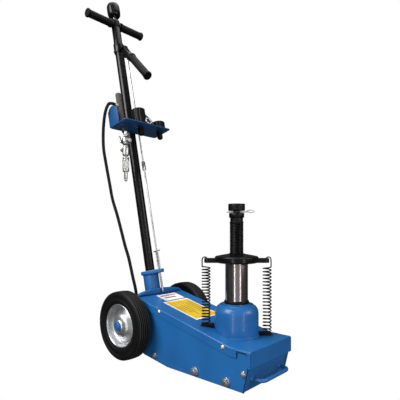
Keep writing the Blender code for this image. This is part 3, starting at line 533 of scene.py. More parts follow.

# %% [markdown]
# ## Hood and side plates
# The body is two cut side plates under a folded sheet hood. The hood slopes down from the axle,
# goes level past the tank and turns down at the front as an apron with narrow side returns. Its
# flanges lie over the plates and stop short of the front corner. The hood is a skin of point
# rows, round at each bend and thickened inwards by a sheet's thickness, and the tank comes up
# through a hole in it. A dark bead on each plate is painted shade: it stands in for the shadow
# in the narrow gap at the seam beside the apron.

# %% Chassis sizes
HALF_WIDTH = 0.0948
SHEET = 0.003
GAP = 0.0003
PLATE = 0.005
PLATE_OUTER = HALF_WIDTH - SHEET - GAP
HOOD_REAR_X = -0.3065
HOOD_KNEE_X = 0.050
HOOD_FLAT_Z = 0.1016
HOOD_SLOPE = 0.2231
HOOD_FRONT_X = 0.1095
FLANGE_DEPTH = 0.022
FLANGE_FRONT_X = 0.0696
APRON_BOTTOM_Z = 0.062
AXLE_X = -0.318
WHEEL_RADIUS = 0.100
TANK_RADIUS = 0.0579
TANK_HOLE_RADIUS = TANK_RADIUS + 0.0005
BEND = 0.0030
BEND_STEPS = 5
TOP_ROWS = 39
RETURN_WIDTH = 0.0095
LABEL_THICKNESS = 0.0002
BAR_Z = 0.027
BAR_HALF_WIDTH = 0.060


def hood_z(x):
    """Height of the hood's top face at x."""
    return HOOD_FLAT_Z + max(0.0, HOOD_KNEE_X - x) * HOOD_SLOPE


# %% Hood
def sheet_rows(stations):
    """A thin skin from rows of points, given its thickness inwards."""
    form = bmesh.new()
    rows = [[form.verts.new(point) for point in row] for row in stations]
    for upper, lower in zip(rows, rows[1:]):
        for k in range(len(upper) - 1):
            form.faces.new((upper[k], lower[k], lower[k + 1], upper[k + 1]))
    bmesh.ops.remove_doubles(form, verts=form.verts, dist=MERGE)
    mesh = bpy.data.meshes.new("sheet")
    form.to_mesh(mesh)
    form.free()
    skin = temporary(mesh)
    thicken = skin.modifiers.new("thicken", "SOLIDIFY")
    thicken.thickness, thicken.offset, thicken.use_even_offset = SHEET, -1.0, True
    return baked(skin)


def across(x, z, drop):
    """A row over the hood at x: up one flange, round its bend, across, and down the other."""
    bend = [(HALF_WIDTH - BEND + BEND * math.sin(a), z - BEND + BEND * math.cos(a))
            for a in (math.pi / 2 * k / BEND_STEPS for k in range(BEND_STEPS + 1))]
    half = bend + [(HALF_WIDTH, z - drop)]
    return [(x, -y, height) for y, height in reversed(half)] + [(x, y, height) for y, height in half]


def hood():
    """The sloping top with its two flanges, and the front apron with its narrow side returns."""
    top = [across(HOOD_REAR_X, hood_z(HOOD_REAR_X), FLANGE_DEPTH)]
    for k in range(1, TOP_ROWS + 1):
        x = HOOD_REAR_X + (FLANGE_FRONT_X - HOOD_REAR_X) * k / TOP_ROWS
        top.append(across(x, hood_z(x), FLANGE_DEPTH))
    nose = rounded([(FLANGE_FRONT_X, HOOD_FLAT_Z), (HOOD_FRONT_X, HOOD_FLAT_Z),
                    (HOOD_FRONT_X, APRON_BOTTOM_Z)], BEND, steps=BEND_STEPS)
    apron = []
    for x, z in nose:
        inward = max(0.0, x - (HOOD_FRONT_X - BEND))
        edge = HALF_WIDTH - (BEND - math.sqrt(max(0.0, BEND ** 2 - inward ** 2)))
        line = [(-edge, -0.004), (-edge + 0.0012, -0.0012), (-edge + 0.004, 0.0)]
        row = [(y, z + lift if z > HOOD_FLAT_Z - BEND else z) for y, lift in line]
        apron.append([(x, y, height) for y, height in row]
                     + [(x, -y, height) for y, height in reversed(row)])
    tank_hole = lathe([(0, 0.3), (TANK_HOLE_RADIUS, 0.3), (TANK_HOLE_RADIUS, 0.05), (0, 0.05)], 96, edge=0)
    parts = [combined(sheet_rows(top), [tank_hole], "DIFFERENCE"), sheet_rows(apron)]
    low, high = APRON_BOTTOM_Z, HOOD_FLAT_Z - 0.0030
    for side in SIDES.values():
        outer, inner = side * HALF_WIDTH, side * (HALF_WIDTH - SHEET)
        parts.append(brick((HOOD_FRONT_X - RETURN_WIDTH, min(outer, inner), low),
                           (HOOD_FRONT_X - 0.0005, max(outer, inner), high), 0.0009, 3))
    return together(*parts)


add("hood", hood(), blue, "chassis", "top_cover", smooth=32, flat=True)

# %% Labels
def on_hood(x, y, lift):
    """A place on the sloping top, with X running down the slope."""
    return at(x, y, hood_z(x) + lift, Matrix.Rotation(math.atan(HOOD_SLOPE), 4, "Y"))


def label(name, low, high, finish, lift=0.0):
    """A thin sticker between two corners (x, y) of the sloping top."""
    x, y = (low[0] + high[0]) / 2, (low[1] + high[1]) / 2
    long, wide = (high[0] - low[0]) * math.hypot(1, HOOD_SLOPE) / 2, (high[1] - low[1]) / 2
    line = rounded([(-long, -wide), (long, -wide), (long, wide), (-long, wide)], 0.002, True)
    add(name, plate([line], LABEL_THICKNESS, 0.0, I), finish, "chassis", (),
        on_hood(x, y, LABEL_THICKNESS + lift))


label("white_sticker", (-0.2880, -0.0290), (-0.2420, 0.0500), white_label)
label("red_band", (-0.2800, -0.0220), (-0.2740, 0.0420), red_print, LABEL_THICKNESS)
label("grey_band", (-0.2640, -0.0180), (-0.2580, 0.0300), grey_print, LABEL_THICKNESS)
label("yellow_sticker_edge", (-0.2360, -0.0480), (-0.1000, 0.0520), white_label)
label("yellow_sticker", (-0.2310, -0.0430), (-0.1060, 0.0470), yellow_label, LABEL_THICKNESS)
for row in range(7):
    across_y = -0.0340 + 0.0120 * row
    end_x = -0.1560 + 0.014 * (row % 3)
    label(f"print_line_{row + 1}", (-0.2240, across_y), (end_x, across_y + 0.0022), grey_print,
          2 * LABEL_THICKNESS)


# %% Side plates
def side_outline():
    """One plate seen from the side: foot, front corner, sloping top and rounded tail."""
    foot = [(0.0885, 0), (0.1030, 0.0600), (0.1055, 0.0640), (0.1055, 0.0860)]
    corner = arc(0.0955, 0.0870, 0.0098, 0, 80, 8)
    top = [(0.0700, 0.0975), (HOOD_KNEE_X, hood_z(HOOD_KNEE_X) - 0.0038),
           (-0.3100, hood_z(-0.3100) - 0.0042)]
    tail = [(-0.3400, 0.1700), (-0.3520, 0.1500), (-0.3520, 0.0700), (-0.3400, 0.0450),
            (-0.2722, 0.0146), (-0.2315, 0.0088), (-0.1713, 0.0)]
    return foot + corner + top + tail


for side_name, side in SIDES.items():
    side_mesh = plate([side_outline()], PLATE, 0.0009, steps=2)
    add(f"side_plate_{side_name}_sheet", side_mesh, blue, "chassis", f"side_plate_{side_name}",
        at(0, side * (PLATE_OUTER - PLATE / 2), 0), flat=True)
    # Painted shade: a dark bead along the plate's front edge stands in for the shadow in the gap under the
    # hood's flange and apron.
    gap_shadow_path = rounded([(FLANGE_FRONT_X + 0.0008, 0.0805), (FLANGE_FRONT_X + 0.0008, 0.0930), (0.0992, 0.0930),
                    (0.0992, 0.0625), (0.1018, 0.0590), (0.0876, 0.0008)], 0.007, steps=6)
    gap_shadow_line = [(x, side * (PLATE_OUTER + 0.0001), z) for x, z in gap_shadow_path]
    add(f"plate_gap_shadow_{side_name}", sweep(gap_shadow_line, 0.0009, 8), rubber, "chassis")
print("hood and plates made")

# %% [markdown]
# ## Bolts and screws
# Two large bolts hold the block between the plates, two small ones brace the ends, and four
# plated screws hold the hood. A head is a hexagon with its corners taken off, on a washer, and
# the stay bolts end in a domed head.

# %% Bolts
# Head radius, head length and shank radius of the two sizes, then each bolt's x and z.
THROUGH, STAY = (0.0112, 0.0080, 0.006), (0.0072, 0.0055, 0.004)
BOLTS = {"through_bolt_front": (0.0375, 0.0140, THROUGH), "through_bolt_rear": (-0.0663, 0.0152, THROUGH),
         "stay_bolt_front": (0.0880, 0.0453, STAY), "stay_bolt_rear": (-0.2230, 0.0222, STAY)}
WASHER = 0.0018


def bolt(head_radius, head_length, shank):
    """A bolt across the whole body, along Z, with a washered hex head at each end."""
    face = PLATE_OUTER + GAP
    top = face + head_length
    washer_radius = head_radius * 1.04
    meshes = [lathe([(0, face), (shank, face), (shank, -face), (0, -face)], 20, edge=0)]
    for turn in (I, Matrix.Rotation(math.pi, 4, "X")):
        disc = lathe([(0, face + WASHER), (washer_radius, face + WASHER), (washer_radius, face), (0, face)],
                     40, edge=0.0004)
        head = hexagon(head_radius * 0.94, face + WASHER - 0.0002, top, 0.0011)
        cap = lathe([(0, top + 0.0009), (shank * 0.8, top + 0.0006), (shank * 0.95, top - 0.001),
                     (0, top - 0.001)], 24, edge=0.0003)
        meshes += [moved(m, turn) for m in (disc, head, cap)]
    return together(*meshes)


for bolt_name, (x, z, sizes) in BOLTS.items():
    add(f"{bolt_name}_and_nut", bolt(*sizes), pressed_rim, "chassis", bolt_name,
        at(x, 0, z, ALONG_Y @ Matrix.Rotation(0.3, 4, "Z")))

# %% Hood screws
COVER_SCREWS = {"front": (0.0290, 0.0972), "rear": (-0.2015, 0.1500)}


def screw_head():
    """A washered pan head with a cross slot, along Z from the hood's face."""
    face = HALF_WIDTH + GAP
    head = lathe([(0, face + 0.0033), (0.0036, face + 0.0030), (0.0053, face + 0.0016),
                  (0.0053, face + 0.0006), (0.0060, face + 0.0006), (0.0060, face), (0, face)], 32,
                 edge=0.0002)
    slots = [brick((-0.0026, -0.0005, face + 0.0018), (0.0026, 0.0005, face + 0.005), 0),
             brick((-0.0005, -0.0026, face + 0.0018), (0.0005, 0.0026, face + 0.005), 0)]
    return combined(head, slots, "DIFFERENCE")


for where, (x, z) in COVER_SCREWS.items():
    for side_name, side in SIDES.items():
        add(f"hood_screw_{where}_{side_name}", screw_head(), brass, "chassis",
            f"cover_screw_{where}_{side_name}", at(x, 0, z, OUTWARD[side]))

# %% [markdown]
# ## Block, bridge and front bar
# The cast block fills the body's front and carries the tank. At the back an arched bar crosses
# the hood: the upright handle leans on it. Low on the front, a bent round bar is welded on for
# pulling the jack about.

# %% Block
BORE_RADIUS = 0.0393
BLOCK = [(-0.0950, 0.0), (0.0855, 0.0), (0.1025, 0.0640), (0.1025, 0.0880), (-0.0950, 0.0880)]
block_mesh = plate([BLOCK], 2 * (PLATE_OUTER - PLATE - GAP), 0.002, steps=3)
cylinder_bore = lathe([(0, 0.2), (BORE_RADIUS, 0.2), (BORE_RADIUS, 0.0240), (0, 0.0240)], 64, edge=0)
add("hydraulic_block", combined(block_mesh, [cylinder_bore], "DIFFERENCE"), cast_blue, "chassis",
    "base_block")

# %% Rear bridge
low = hood_z(HOOD_REAR_X) + GAP
crown = [(y / 1000, 0.1966 - 0.0000011 * y * y) for y in range(76, -77, -8)]
ends = [(0.0880, low), (0.0870, low + 0.0040)]
bridge_line = ends + crown + [(-y, z) for y, z in reversed(ends)]
bridge = plate([bridge_line], 0.013, 0.0022, FRONT_VIEW, steps=3)
slot = brick((-0.02, -0.0045, low + 0.0030), (0.02, 0.0045, 0.22), 0.0)
add("bridge_bar", combined(bridge, [slot], "DIFFERENCE"), blue, "chassis", "rear_bridge", at(-0.3030, 0, 0))

# %% Front bar
half_bar = [(0.0930, BAR_HALF_WIDTH), (0.1040, BAR_HALF_WIDTH), (0.1150, 0.0570), (0.1205, 0.0490),
            (0.1215, 0.0380), (0.1215, 0.02)]
bar_points = [(x, -y, BAR_Z) for x, y in half_bar] + [(x, y, BAR_Z) for x, y in reversed(half_bar)]
bar_mesh = sweep(smooth_route(bar_points, 64), 0.005, 16)
add("front_pull_bar", bar_mesh, blue, "chassis", "front_bar")
for side_name, side in SIDES.items():
    weld = lathe([(0, 0.0058), (0.0048, 0.0052), (0.0066, 0.0020), (0.0074, 0.0), (0, 0.0)], 24)
    add(f"bar_weld_{side_name}", weld, blue, "chassis", (),
        at(0.0926, side * BAR_HALF_WIDTH, BAR_Z, ALONG_X))

# %% [markdown]
# ## Wheels
# The tyres are solid rubber, with ribs running round a nearly flat tread and a step where the
# sidewall meets the bead. The rims are pressed and plated: a rolled lip, a dish and a bulging
# centre. Ribs are cut into the profile before it is turned, so they show in the outline. A thin
# lighter skin on the crown of each rib is a painted highlight, where the ribs' edges catch light.

# %% Tyres
TYRE_HALF = 0.0205
WHEEL_Y = 0.1295
RIB_PITCH = 0.0064
RIB_EDGE = 0.0013
GROOVES, GROOVE_DEPTH = 5, 0.0027


def crown_radius(y):
    """The tread's radius at y from the tyre's middle: it falls away slightly to both sides."""
    return WHEEL_RADIUS - 0.0008 * (y / 0.0155) ** 2


def tyre():
    """Sidewall, shoulder and grooved tread, as one closed profile turned about the axle."""
    side_wall = [(0.0640, 0.0165), (0.0655, 0.0188), (0.0690, 0.0194), (0.0702, 0.0205), (0.0760, 0.0205),
                 (0.0770, 0.0194), (0.0862, 0.0193), (0.0872, 0.0205), (0.0905, 0.0203), (0.0945, 0.0192),
                 (0.0965, 0.0180)]
    crown = [(0.0985, 0.0168)]
    tread = []
    for k in range(GROOVES):
        middle = 0.0128 - RIB_PITCH * k
        top = crown_radius(middle)
        bottom = top - GROOVE_DEPTH
        tread += [(top, middle + RIB_EDGE), (bottom, middle + 0.0007), (bottom, middle - 0.0007),
                  (top, middle - RIB_EDGE)]
    profile = side_wall + crown + tread + [(a, -b) for a, b in reversed(crown)]
    profile += [(a, -b) for a, b in reversed(side_wall)]
    return lathe(profile, 96, ring=True, edge=0.0005)


def rim():
    """A rolled lip, a stepped dish and a domed hub with a short collar on the axle."""
    bore = 0.0108
    front = [(bore, 0.0215), (0.0150, 0.0215), (0.0165, 0.0205), (0.0182, 0.0190), (0.0230, 0.0178),
             (0.0290, 0.0158), (0.0340, 0.0120), (0.0375, 0.0070), (0.0410, 0.0020), (0.0450, -0.0012),
             (0.0500, -0.0022), (0.0545, 0.0000), (0.0570, 0.0060), (0.0585, 0.0130), (0.0600, 0.0168),
             (0.0620, 0.0180), (0.0637, 0.0165)]
    back = [(0.0637, -0.0165), (0.0605, -0.0165), (0.0580, -0.0100), (0.0550, -0.0040), (0.0500, -0.0056),
            (0.0440, -0.0046), (0.0370, 0.0010), (0.0300, 0.0090), (0.0200, 0.0120), (0.0175, -0.0200),
            (bore, -0.0200)]
    return lathe(front + back, 96, ring=True, edge=0.0012)


for side_name, side in SIDES.items():
    place = at(AXLE_X, side * WHEEL_Y, WHEEL_RADIUS, OUTWARD[side])
    add(f"ribbed_tyre_{side_name}", tyre(), tyre_skin, f"wheel_{side_name}", f"tyre_{side_name}", place, 50)
    # Painted highlight: a thin lighter band on each rib's crown, where the ribs' edges catch the light.
    for k in range(GROOVES + 1):
        middle = 0.0160 - RIB_PITCH * k
        top = crown_radius(middle)
        rib_highlight_band = [(top - 0.0004, middle + RIB_EDGE), (top + 0.00015, middle + 0.0008),
                (top + 0.00015, middle - 0.0008), (top - 0.0004, middle - RIB_EDGE)]
        add(f"painted_highlight_rib_{side_name}_{k + 1}", lathe(rib_highlight_band, 96, ring=True, edge=0.0), rib_highlight_skin,
            f"wheel_{side_name}", (), place)
    add(f"pressed_rim_{side_name}", rim(), pressed_rim, f"wheel_{side_name}", f"rim_{side_name}", place, 50)

# %% Axle
AXLE_RADIUS = 0.0105
AXLE_END_Y = 0.156
SPACER_RADIUS = 0.0150
COLLAR_LOBES = 8


def axle_shaft():
    """A shaft with a spacer on each side, between the plate and the wheel."""
    inner, outer, end = PLATE_OUTER + GAP, WHEEL_Y - TYRE_HALF - GAP, AXLE_END_Y
    half = [(0, end), (0.0070, end), (0.0088, end - 0.0008), (AXLE_RADIUS, end - 0.0028),
            (AXLE_RADIUS, outer), (SPACER_RADIUS, outer), (SPACER_RADIUS, inner), (AXLE_RADIUS, inner)]
    return lathe(half + [(r, -z) for r, z in reversed(half)], 48, edge=0.0006)


def castellated(angle, radius, height):
    """Notches round the outside of an axle collar."""
    return radius - 0.0016 * max(0.0, math.cos(COLLAR_LOBES * angle)) ** 2 if radius > 0.0120 else radius


add("axle_shaft", axle_shaft(), blue, "chassis", "axle", at(AXLE_X, 0, WHEEL_RADIUS, ALONG_Y))
for side_name, side in SIDES.items():
    collar_bore = AXLE_RADIUS + 0.0001
    collar = lathe([(collar_bore, 0.1545), (0.0128, 0.1545), (0.0138, 0.1535), (0.0138, 0.1512),
                    (collar_bore, 0.1512)], 96, ring=True, edge=0.0004, wave=castellated)
    add(f"axle_collar_{side_name}", collar, blue, "chassis", (), at(AXLE_X, 0, WHEEL_RADIUS, OUTWARD[side]))
print("chassis and wheels made")

# %% [markdown]
# ## Tank, gland and ram
# The oil tank is a painted steel shell with a sloped shoulder. A dark wiper keeps dirt off the
# ram, which is ground and polished, so it shows long upright reflections. Its fine turning marks
# run round it.

# %% Hydraulic unit
tank_profile = [(0.0400, 0.1862), (0.0440, 0.1858), (0.0452, 0.1846), (0.0468, 0.1830), (0.0515, 0.1800),
                (0.0552, 0.1745), (0.0572, 0.1690), (TANK_RADIUS, 0.1620), (TANK_RADIUS, 0.0883),
                (0.0540, 0.0883), (0.0540, 0.1600), (0.0510, 0.1700), (0.0460, 0.1770), (0.0400, 0.1815)]
add("tank_shell", lathe(tank_profile, 96, ring=True, edge=0.0012), blue, "chassis", "oil_tank", smooth=50)
skirt_inner, skirt_outer = TANK_RADIUS + 0.00005, TANK_RADIUS + 0.0010
skirt = [(skirt_inner, 0.1085), (skirt_outer, 0.1075), (skirt_outer, 0.0890), (skirt_inner, 0.0890)]
add("tank_skirt", lathe(skirt, 96, ring=True, edge=0.0003), blue, "chassis")
gland = [(0.0306, 0.1880), (0.0385, 0.1880), (0.0391, 0.1874), (0.0391, 0.1720), (0.0306, 0.1720)]
add("gland_ring", lathe(gland, 64, ring=True, edge=0.0010), blue, "chassis", "gland_nut")
wiper = [(0.0303, 0.1955), (0.0318, 0.1955), (0.0330, 0.1930), (0.0330, 0.1883), (0.0303, 0.1883)]
add("wiper_ring", lathe(wiper, 64, ring=True, edge=0.0006), rubber, "chassis", "wiper_seal")
ram = [(0, 0.172), (0.0191, 0.172), (0.0191, 0.2937), (0.0300, 0.2937), (0.0300, 0.125), (0, 0.125)]
add("polished_ram", lathe(ram, 96, edge=0.0006), ground, "ram_unit", "ram")
add("filler_plug", together(hexagon(0.0082, TANK_RADIUS + 0.0018, TANK_RADIUS + 0.0060),
                            lathe([(0, TANK_RADIUS + 0.002), (0.0085, TANK_RADIUS + 0.002),
                                   (0.0085, TANK_RADIUS - 0.001), (0, TANK_RADIUS - 0.001)], 32)),
    zinc, "chassis", "oil_filler_plug", at(0, 0, 0.148, Matrix.Rotation(math.pi, 4, "Z") @ ALONG_X))

# %% [markdown]
# ## Lift plate, screw and saddle
# A black plate caps the ram. Two ears on it stretch the return springs as the ram rises, and the
# springs pull it down again. The extension screw has a real helical thread: its radius is a
# function of height and angle, so one turn climbs by one pitch.

# %% Lift plate
SPRING_ANGLE = math.radians(42.3)
SPRING_TURN = Matrix.Rotation(SPRING_ANGLE, 4, "Z")
EAR_TOP_Z = 0.3072
PLATE_UNDER_Z = 0.294
PLATE_HOLE_RADIUS = 0.0190
EAR_HOLE_RADIUS = 0.0032
EAR_HOLE_X = 0.0785
SPRING_FEET = {"rear": (-1, 0.1340), "front": (1, 0.1125)}


def spring_turn(way):
    """The turn that carries a piece drawn along X to the front or the rear ear."""
    return SPRING_TURN if way > 0 else SPRING_TURN @ Matrix.Rotation(math.pi, 4, "Z")


def lift_plate():
    """A stepped disc joined to a bar of two ears, bored for the screw and for the spring hooks."""
    hole = PLATE_HOLE_RADIUS
    disc = lathe([(hole, 0.3190), (0.0215, 0.3190), (0.0232, 0.3180), (0.0400, 0.3150), (0.0555, 0.3118),
                  (TANK_RADIUS, 0.3100), (TANK_RADIUS, 0.2975), (0.0545, 0.2952), (0.0480, 0.2940),
                  (hole, 0.2940)],
                 96, ring=True, edge=0.0010)
    line = [(-0.0860, -0.0070), (-0.0800, -0.0110), (0.0800, -0.0110), (0.0860, -0.0070), (0.0860, 0.0070),
            (0.0800, 0.0110), (-0.0800, 0.0110), (-0.0860, 0.0070)]
    ears = plate([rounded(line, 0.003, True)], EAR_TOP_Z - PLATE_UNDER_Z - 0.001, 0.0018, SPRING_TURN, 3)
    ears.transform(at(0, 0, (EAR_TOP_Z + PLATE_UNDER_Z) / 2))
    bores = [lathe([(0, 0.4), (hole, 0.4), (hole, 0.2), (0, 0.2)], 96, edge=0)]
    for way in (-1, 1):
        centre = SPRING_TURN @ Vector((way * EAR_HOLE_X, 0, 0))
        ear_bore = lathe([(0, 0.4), (EAR_HOLE_RADIUS, 0.4), (EAR_HOLE_RADIUS, 0.2), (0, 0.2)], 20, edge=0)
        bores.append(moved(ear_bore, at(*centre)))
    return combined(combined(disc, [ears], "UNION"), bores, "DIFFERENCE")


add("ram_cap_plate", lift_plate(), black, "ram_unit", "lift_plate", smooth=35)

# %% Extension screw
SCREW_RADIUS = 0.0187
PITCH = 0.0042
THREAD_LOW, THREAD_HIGH = 0.266, 0.4020


def thread(angle, radius, height):
    """A rounded trapezoid thread between its two ends, and plain elsewhere."""
    if radius < 0.0180 or not THREAD_LOW < height < THREAD_HIGH:
        return radius
    turn = (height / PITCH - angle / (2 * math.pi)) % 1.0
    ridge = min(1.0, max(0.0, 2.4 * (0.5 - abs(turn - 0.5)) - 0.1))
    fade = min(1.0, (height - THREAD_LOW) / PITCH, (THREAD_HIGH - height) / PITCH)
    return radius - 0.0016 * (1 - ridge) * fade


ROWS_PER_PITCH = 6
steps = int((THREAD_HIGH - THREAD_LOW) / PITCH * ROWS_PER_PITCH)
shaft = [(SCREW_RADIUS, THREAD_HIGH - (THREAD_HIGH - THREAD_LOW) * k / steps) for k in range(steps + 1)]
screw_top = [(0, 0.385), (0.0097, 0.385), (0.0097, 0.4264), (0.0197, 0.4264), (0.0202, 0.4259),
             (0.0202, 0.4144), (0.0197, 0.4139), (0.0170, 0.4139), (0.0170, 0.4033),
             (SCREW_RADIUS - 0.0008, 0.4032)]
screw = lathe(screw_top + shaft + [(0.0175, 0.2630), (0.0170, 0.262), (0, 0.262)], 72, edge=0, wave=thread)
add("threaded_screw", screw, oxide, "screw", "extension_screw", smooth=55)

# %% Saddle and its clip
saddle = [(0, 0.4500), (0.0060, 0.4500), (0.0070, 0.4494), (0.0085, 0.4494), (0.0095, 0.4506),
          (0.0125, 0.4506), (0.0135, 0.4496), (0.0150, 0.4496), (0.0160, 0.4506), (0.0213, 0.4506),
          (0.0223, 0.4496), (0.0223, 0.4332), (0.0213, 0.4322), (0.0094, 0.4322), (0.0094, 0.3880),
          (0, 0.3880)]
add("saddle_head", lathe(saddle, 72, edge=0.0004), oxide, "saddle_head", "saddle")
clip_half = [(-0.0260, 0.0112, 0.4292), (0.0210, 0.0112, 0.4292), (0.0300, 0.0080, 0.4325),
             (0.0400, 0.0035, 0.4345)]
clip_back = [(0.0455, 0.0, 0.4325), (0.0445, -0.0035, 0.4290), (0.0360, -0.0070, 0.4272),
             (0.0250, -0.0105, 0.4290), (-0.0220, -0.0112, 0.4292)]
clip_mesh = sweep(smooth_route(clip_half + clip_back, 56), 0.0011, 10)
add("saddle_clip", clip_mesh, zinc, "screw", "retaining_clip", SPRING_TURN)

# %% [markdown]
# ## Return springs
# Each spring is one wire: a hook into the lug below, the coils, and a hook over the plate's ear.
# When the ram comes down the coils close.

# %% Springs
SPRING_RADIUS = 0.081
SPRING_COIL = 0.0105
SPRING_WIRE = 0.0017
SPRING_TOP_Z = 0.284
TURNS, PER_TURN = 19, 20


def spring(foot):
    """The coils from the foot up, then the wire out and over the ear."""
    low = foot + SPRING_WIRE + GAP
    coil = []
    for i in range(TURNS * PER_TURN + 1):
        a = 2 * math.pi * i / PER_TURN
        z = low + (SPRING_TOP_Z - low) * i / (TURNS * PER_TURN)
        coil.append((SPRING_RADIUS + SPRING_COIL * math.cos(a), SPRING_COIL * math.sin(a), z))
    over = EAR_TOP_Z + SPRING_WIRE + GAP
    outside = SPRING_RADIUS + SPRING_COIL
    hook = [(outside, 0, 0.2865), (outside, 0, 0.2920), (outside, 0, 0.3000), (outside - 0.0004, 0, 0.3045),
            (0.0890, 0, over - 0.0006), (0.0855, 0, over + 0.0004), (0.0820, 0, over),
            (0.0792, 0, over - 0.0018), (EAR_HOLE_X, 0, 0.3040), (EAR_HOLE_X, 0, 0.2990)]
    return sweep(coil + hook, SPRING_WIRE, 10)


for where, (way, foot) in SPRING_FEET.items():
    coil = add(f"coil_spring_{where}", spring(foot), oxide, "chassis", f"return_spring_{where}",
               spring_turn(way), 60)
    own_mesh(coil)

# %% Spring lugs
for where, rise in (("rear", 0.0060), ("front", 0.0)):
    way, top = SPRING_FEET[where]
    inner, outer = TANK_RADIUS + 0.0017, 0.0955
    base = hood_z(way * inner * math.cos(SPRING_ANGLE)) + 0.0013
    line = [(inner, base), (outer, base + rise), (outer, base + rise + 0.0012), (0.0900, top), (inner, top)]
    lug = plate([line], 0.014, 0.0008, spring_turn(way) @ SIDE_VIEW, 2)
    add(f"spring_foot_{where}", lug, black, "chassis", f"spring_lug_{where}")
print("lifting parts made")

# %% [markdown]
# ## Handle
# The handle is drawn in its own frame, leaning back from the axle: x forward of the tube, y
# across, z along the tube. One matrix then carries every piece of it into place.

# %% Handle frame
HANDLE = at(AXLE_X, 0, WHEEL_RADIUS, Matrix.Rotation(math.radians(-12.36), 4, "Y"))
TUBE_RADIUS = 0.015
TUBE_HOLE = 0.0153
SOCKET_RADIUS = 0.0249
BAR_HEIGHT = 1.035
LATCH_X = 0.0459
GRIP_END_Y = 0.1165
KNOB_BOTTOM, KNOB_TOP = 1.066, 1.119


def on_handle(x=0.0, y=0.0, z=0.0, turn=I):
    """A place given in the handle's own frame."""
    return HANDLE @ at(x, y, z, turn)


# %% Socket, its yoke and its collar plate
def yoke():
    """Two ears on the axle, running up into the socket."""
    ears = []
    for side in SIDES.values():
        line = [(0.0200, 0.080), (-0.0200, 0.080)] + arc(0, 0, 0.0180, 190, 350, 20)
        ear = plate([line, circle(0, 0, 0.0108)], 0.006, 0.001, steps=2)
        ears.append(moved(ear, at(0, side * 0.0190, 0)))
    return together(*ears)


socket = [(TUBE_HOLE, 0.1435), (SOCKET_RADIUS, 0.1435), (SOCKET_RADIUS, 0.062), (TUBE_HOLE, 0.062)]
add("tube_socket", lathe(socket, 64, ring=True, edge=0.0012), blue, "handle", "handle_socket", HANDLE)
add("socket_yoke", yoke(), blue, "handle", (), HANDLE)
collar_line = arc(0, 0, 0.0305, 50, 310, 40) + [(0.0540, -0.0110), (0.0570, -0.0080), (0.0580, 0),
                                                (0.0570, 0.0080), (0.0540, 0.0110)]
collar_holes = [circle(0, 0, TUBE_HOLE), circle(LATCH_X, 0, 0.0040, 24)]
collar = plate([collar_line] + collar_holes, 0.0110, 0.0016, I, 3)
add("socket_collar", collar, blue, "handle", (), on_handle(0, 0, 0.1447))
rim_weld = lathe([(SOCKET_RADIUS, 0.1400), (0.0262, 0.1396), (0.0268, 0.1385), (SOCKET_RADIUS, 0.1365)], 64,
                 ring=True, edge=0.0004)
add("collar_weld", rim_weld, blue, "handle", (), HANDLE)
add("socket_set_screw", hexagon(0.0058, 0.0252, 0.0309), blue, "handle", "socket_screw",
    on_handle(0, 0, 0.1130, Matrix.Rotation(math.radians(-90), 4, "Y")))

# %% Tube and cross bar
tube = [(0.0110, 1.019), (TUBE_RADIUS, 1.019), (TUBE_RADIUS, 0.078), (0.0110, 0.078)]
add("long_tube", lathe(tube, 64, ring=True, edge=0.0006), black, "handle", "handle_tube", HANDLE)
hub = [(0.0072, 1.0515), (0.0120, 1.0515), (0.0150, 1.0490), (0.0155, 1.0450), (0.0155, 1.0250),
       (0.0150, 1.0215), (0.0140, 1.0193), (0.0072, 1.0193)]
bar = lathe([(0, 0.1125), (0.0100, 0.1125), (0.0100, -0.1125), (0, -0.1125)], 40)
bore = lathe([(0, 1.2), (0.0072, 1.2), (0.0072, 0.9), (0, 0.9)], 32, edge=0)
cross = combined(combined(lathe(hub, 48, ring=True), [moved(bar, at(0, 0, BAR_HEIGHT, ALONG_Y))], "UNION"),
                 [bore], "DIFFERENCE")
add("cross_bar", cross, black, "handle", "t_bar", HANDLE)


# %% [markdown]
# Hand grips are moulded with a flange at each end and shallow ribs along them, so that a wet
# glove holds. The ribs are a wave in the lathe's radius.

# %% Grips
GRIP_RINGS, GRIP_RIBS = 12, 12


def ribs(count, depth, low, high):
    """Flutes along a turned piece, between two heights."""
    def wave(angle, radius, height):
        if low < height < high and radius > 0.0120:
            return radius - depth * (0.5 + 0.5 * math.cos(count * angle)) ** 3
        return radius
    return wave


def grip(inner, start, end, radius=0.0130):
    """A closed-ended grip along Z with a flange at each end."""
    flange = radius + 0.0019
    line = [(0, end), (flange - 0.0020, end), (flange, end - 0.0020), (flange, end - 0.0060),
            (radius + 0.0004, end - 0.0085), (radius, end - 0.0100)]
    for k in range(GRIP_RINGS):
        z = end - 0.0150 - (end - start - 0.0260) * k / (GRIP_RINGS - 1)
        line += [(radius, z + 0.0016), (radius - 0.0006, z + 0.0008), (radius - 0.0006, z - 0.0008),
                 (radius, z - 0.0016)]
    line += [(radius, start + 0.0085), (flange, start + 0.0060), (flange, start), (inner, start),
             (inner, end - 0.0034), (0, end - 0.0034)]
    return lathe(line, 72, edge=0.0004, wave=ribs(GRIP_RIBS, 0.0005, start + 0.010, end - 0.011))


for side_name, side in SIDES.items():
    add(f"rubber_grip_{side_name}", grip(0.0103, 0.0190, GRIP_END_Y), rubber, "handle", f"grip_{side_name}",
        on_handle(0, 0, BAR_HEIGHT, OUTWARD[side]), 45)

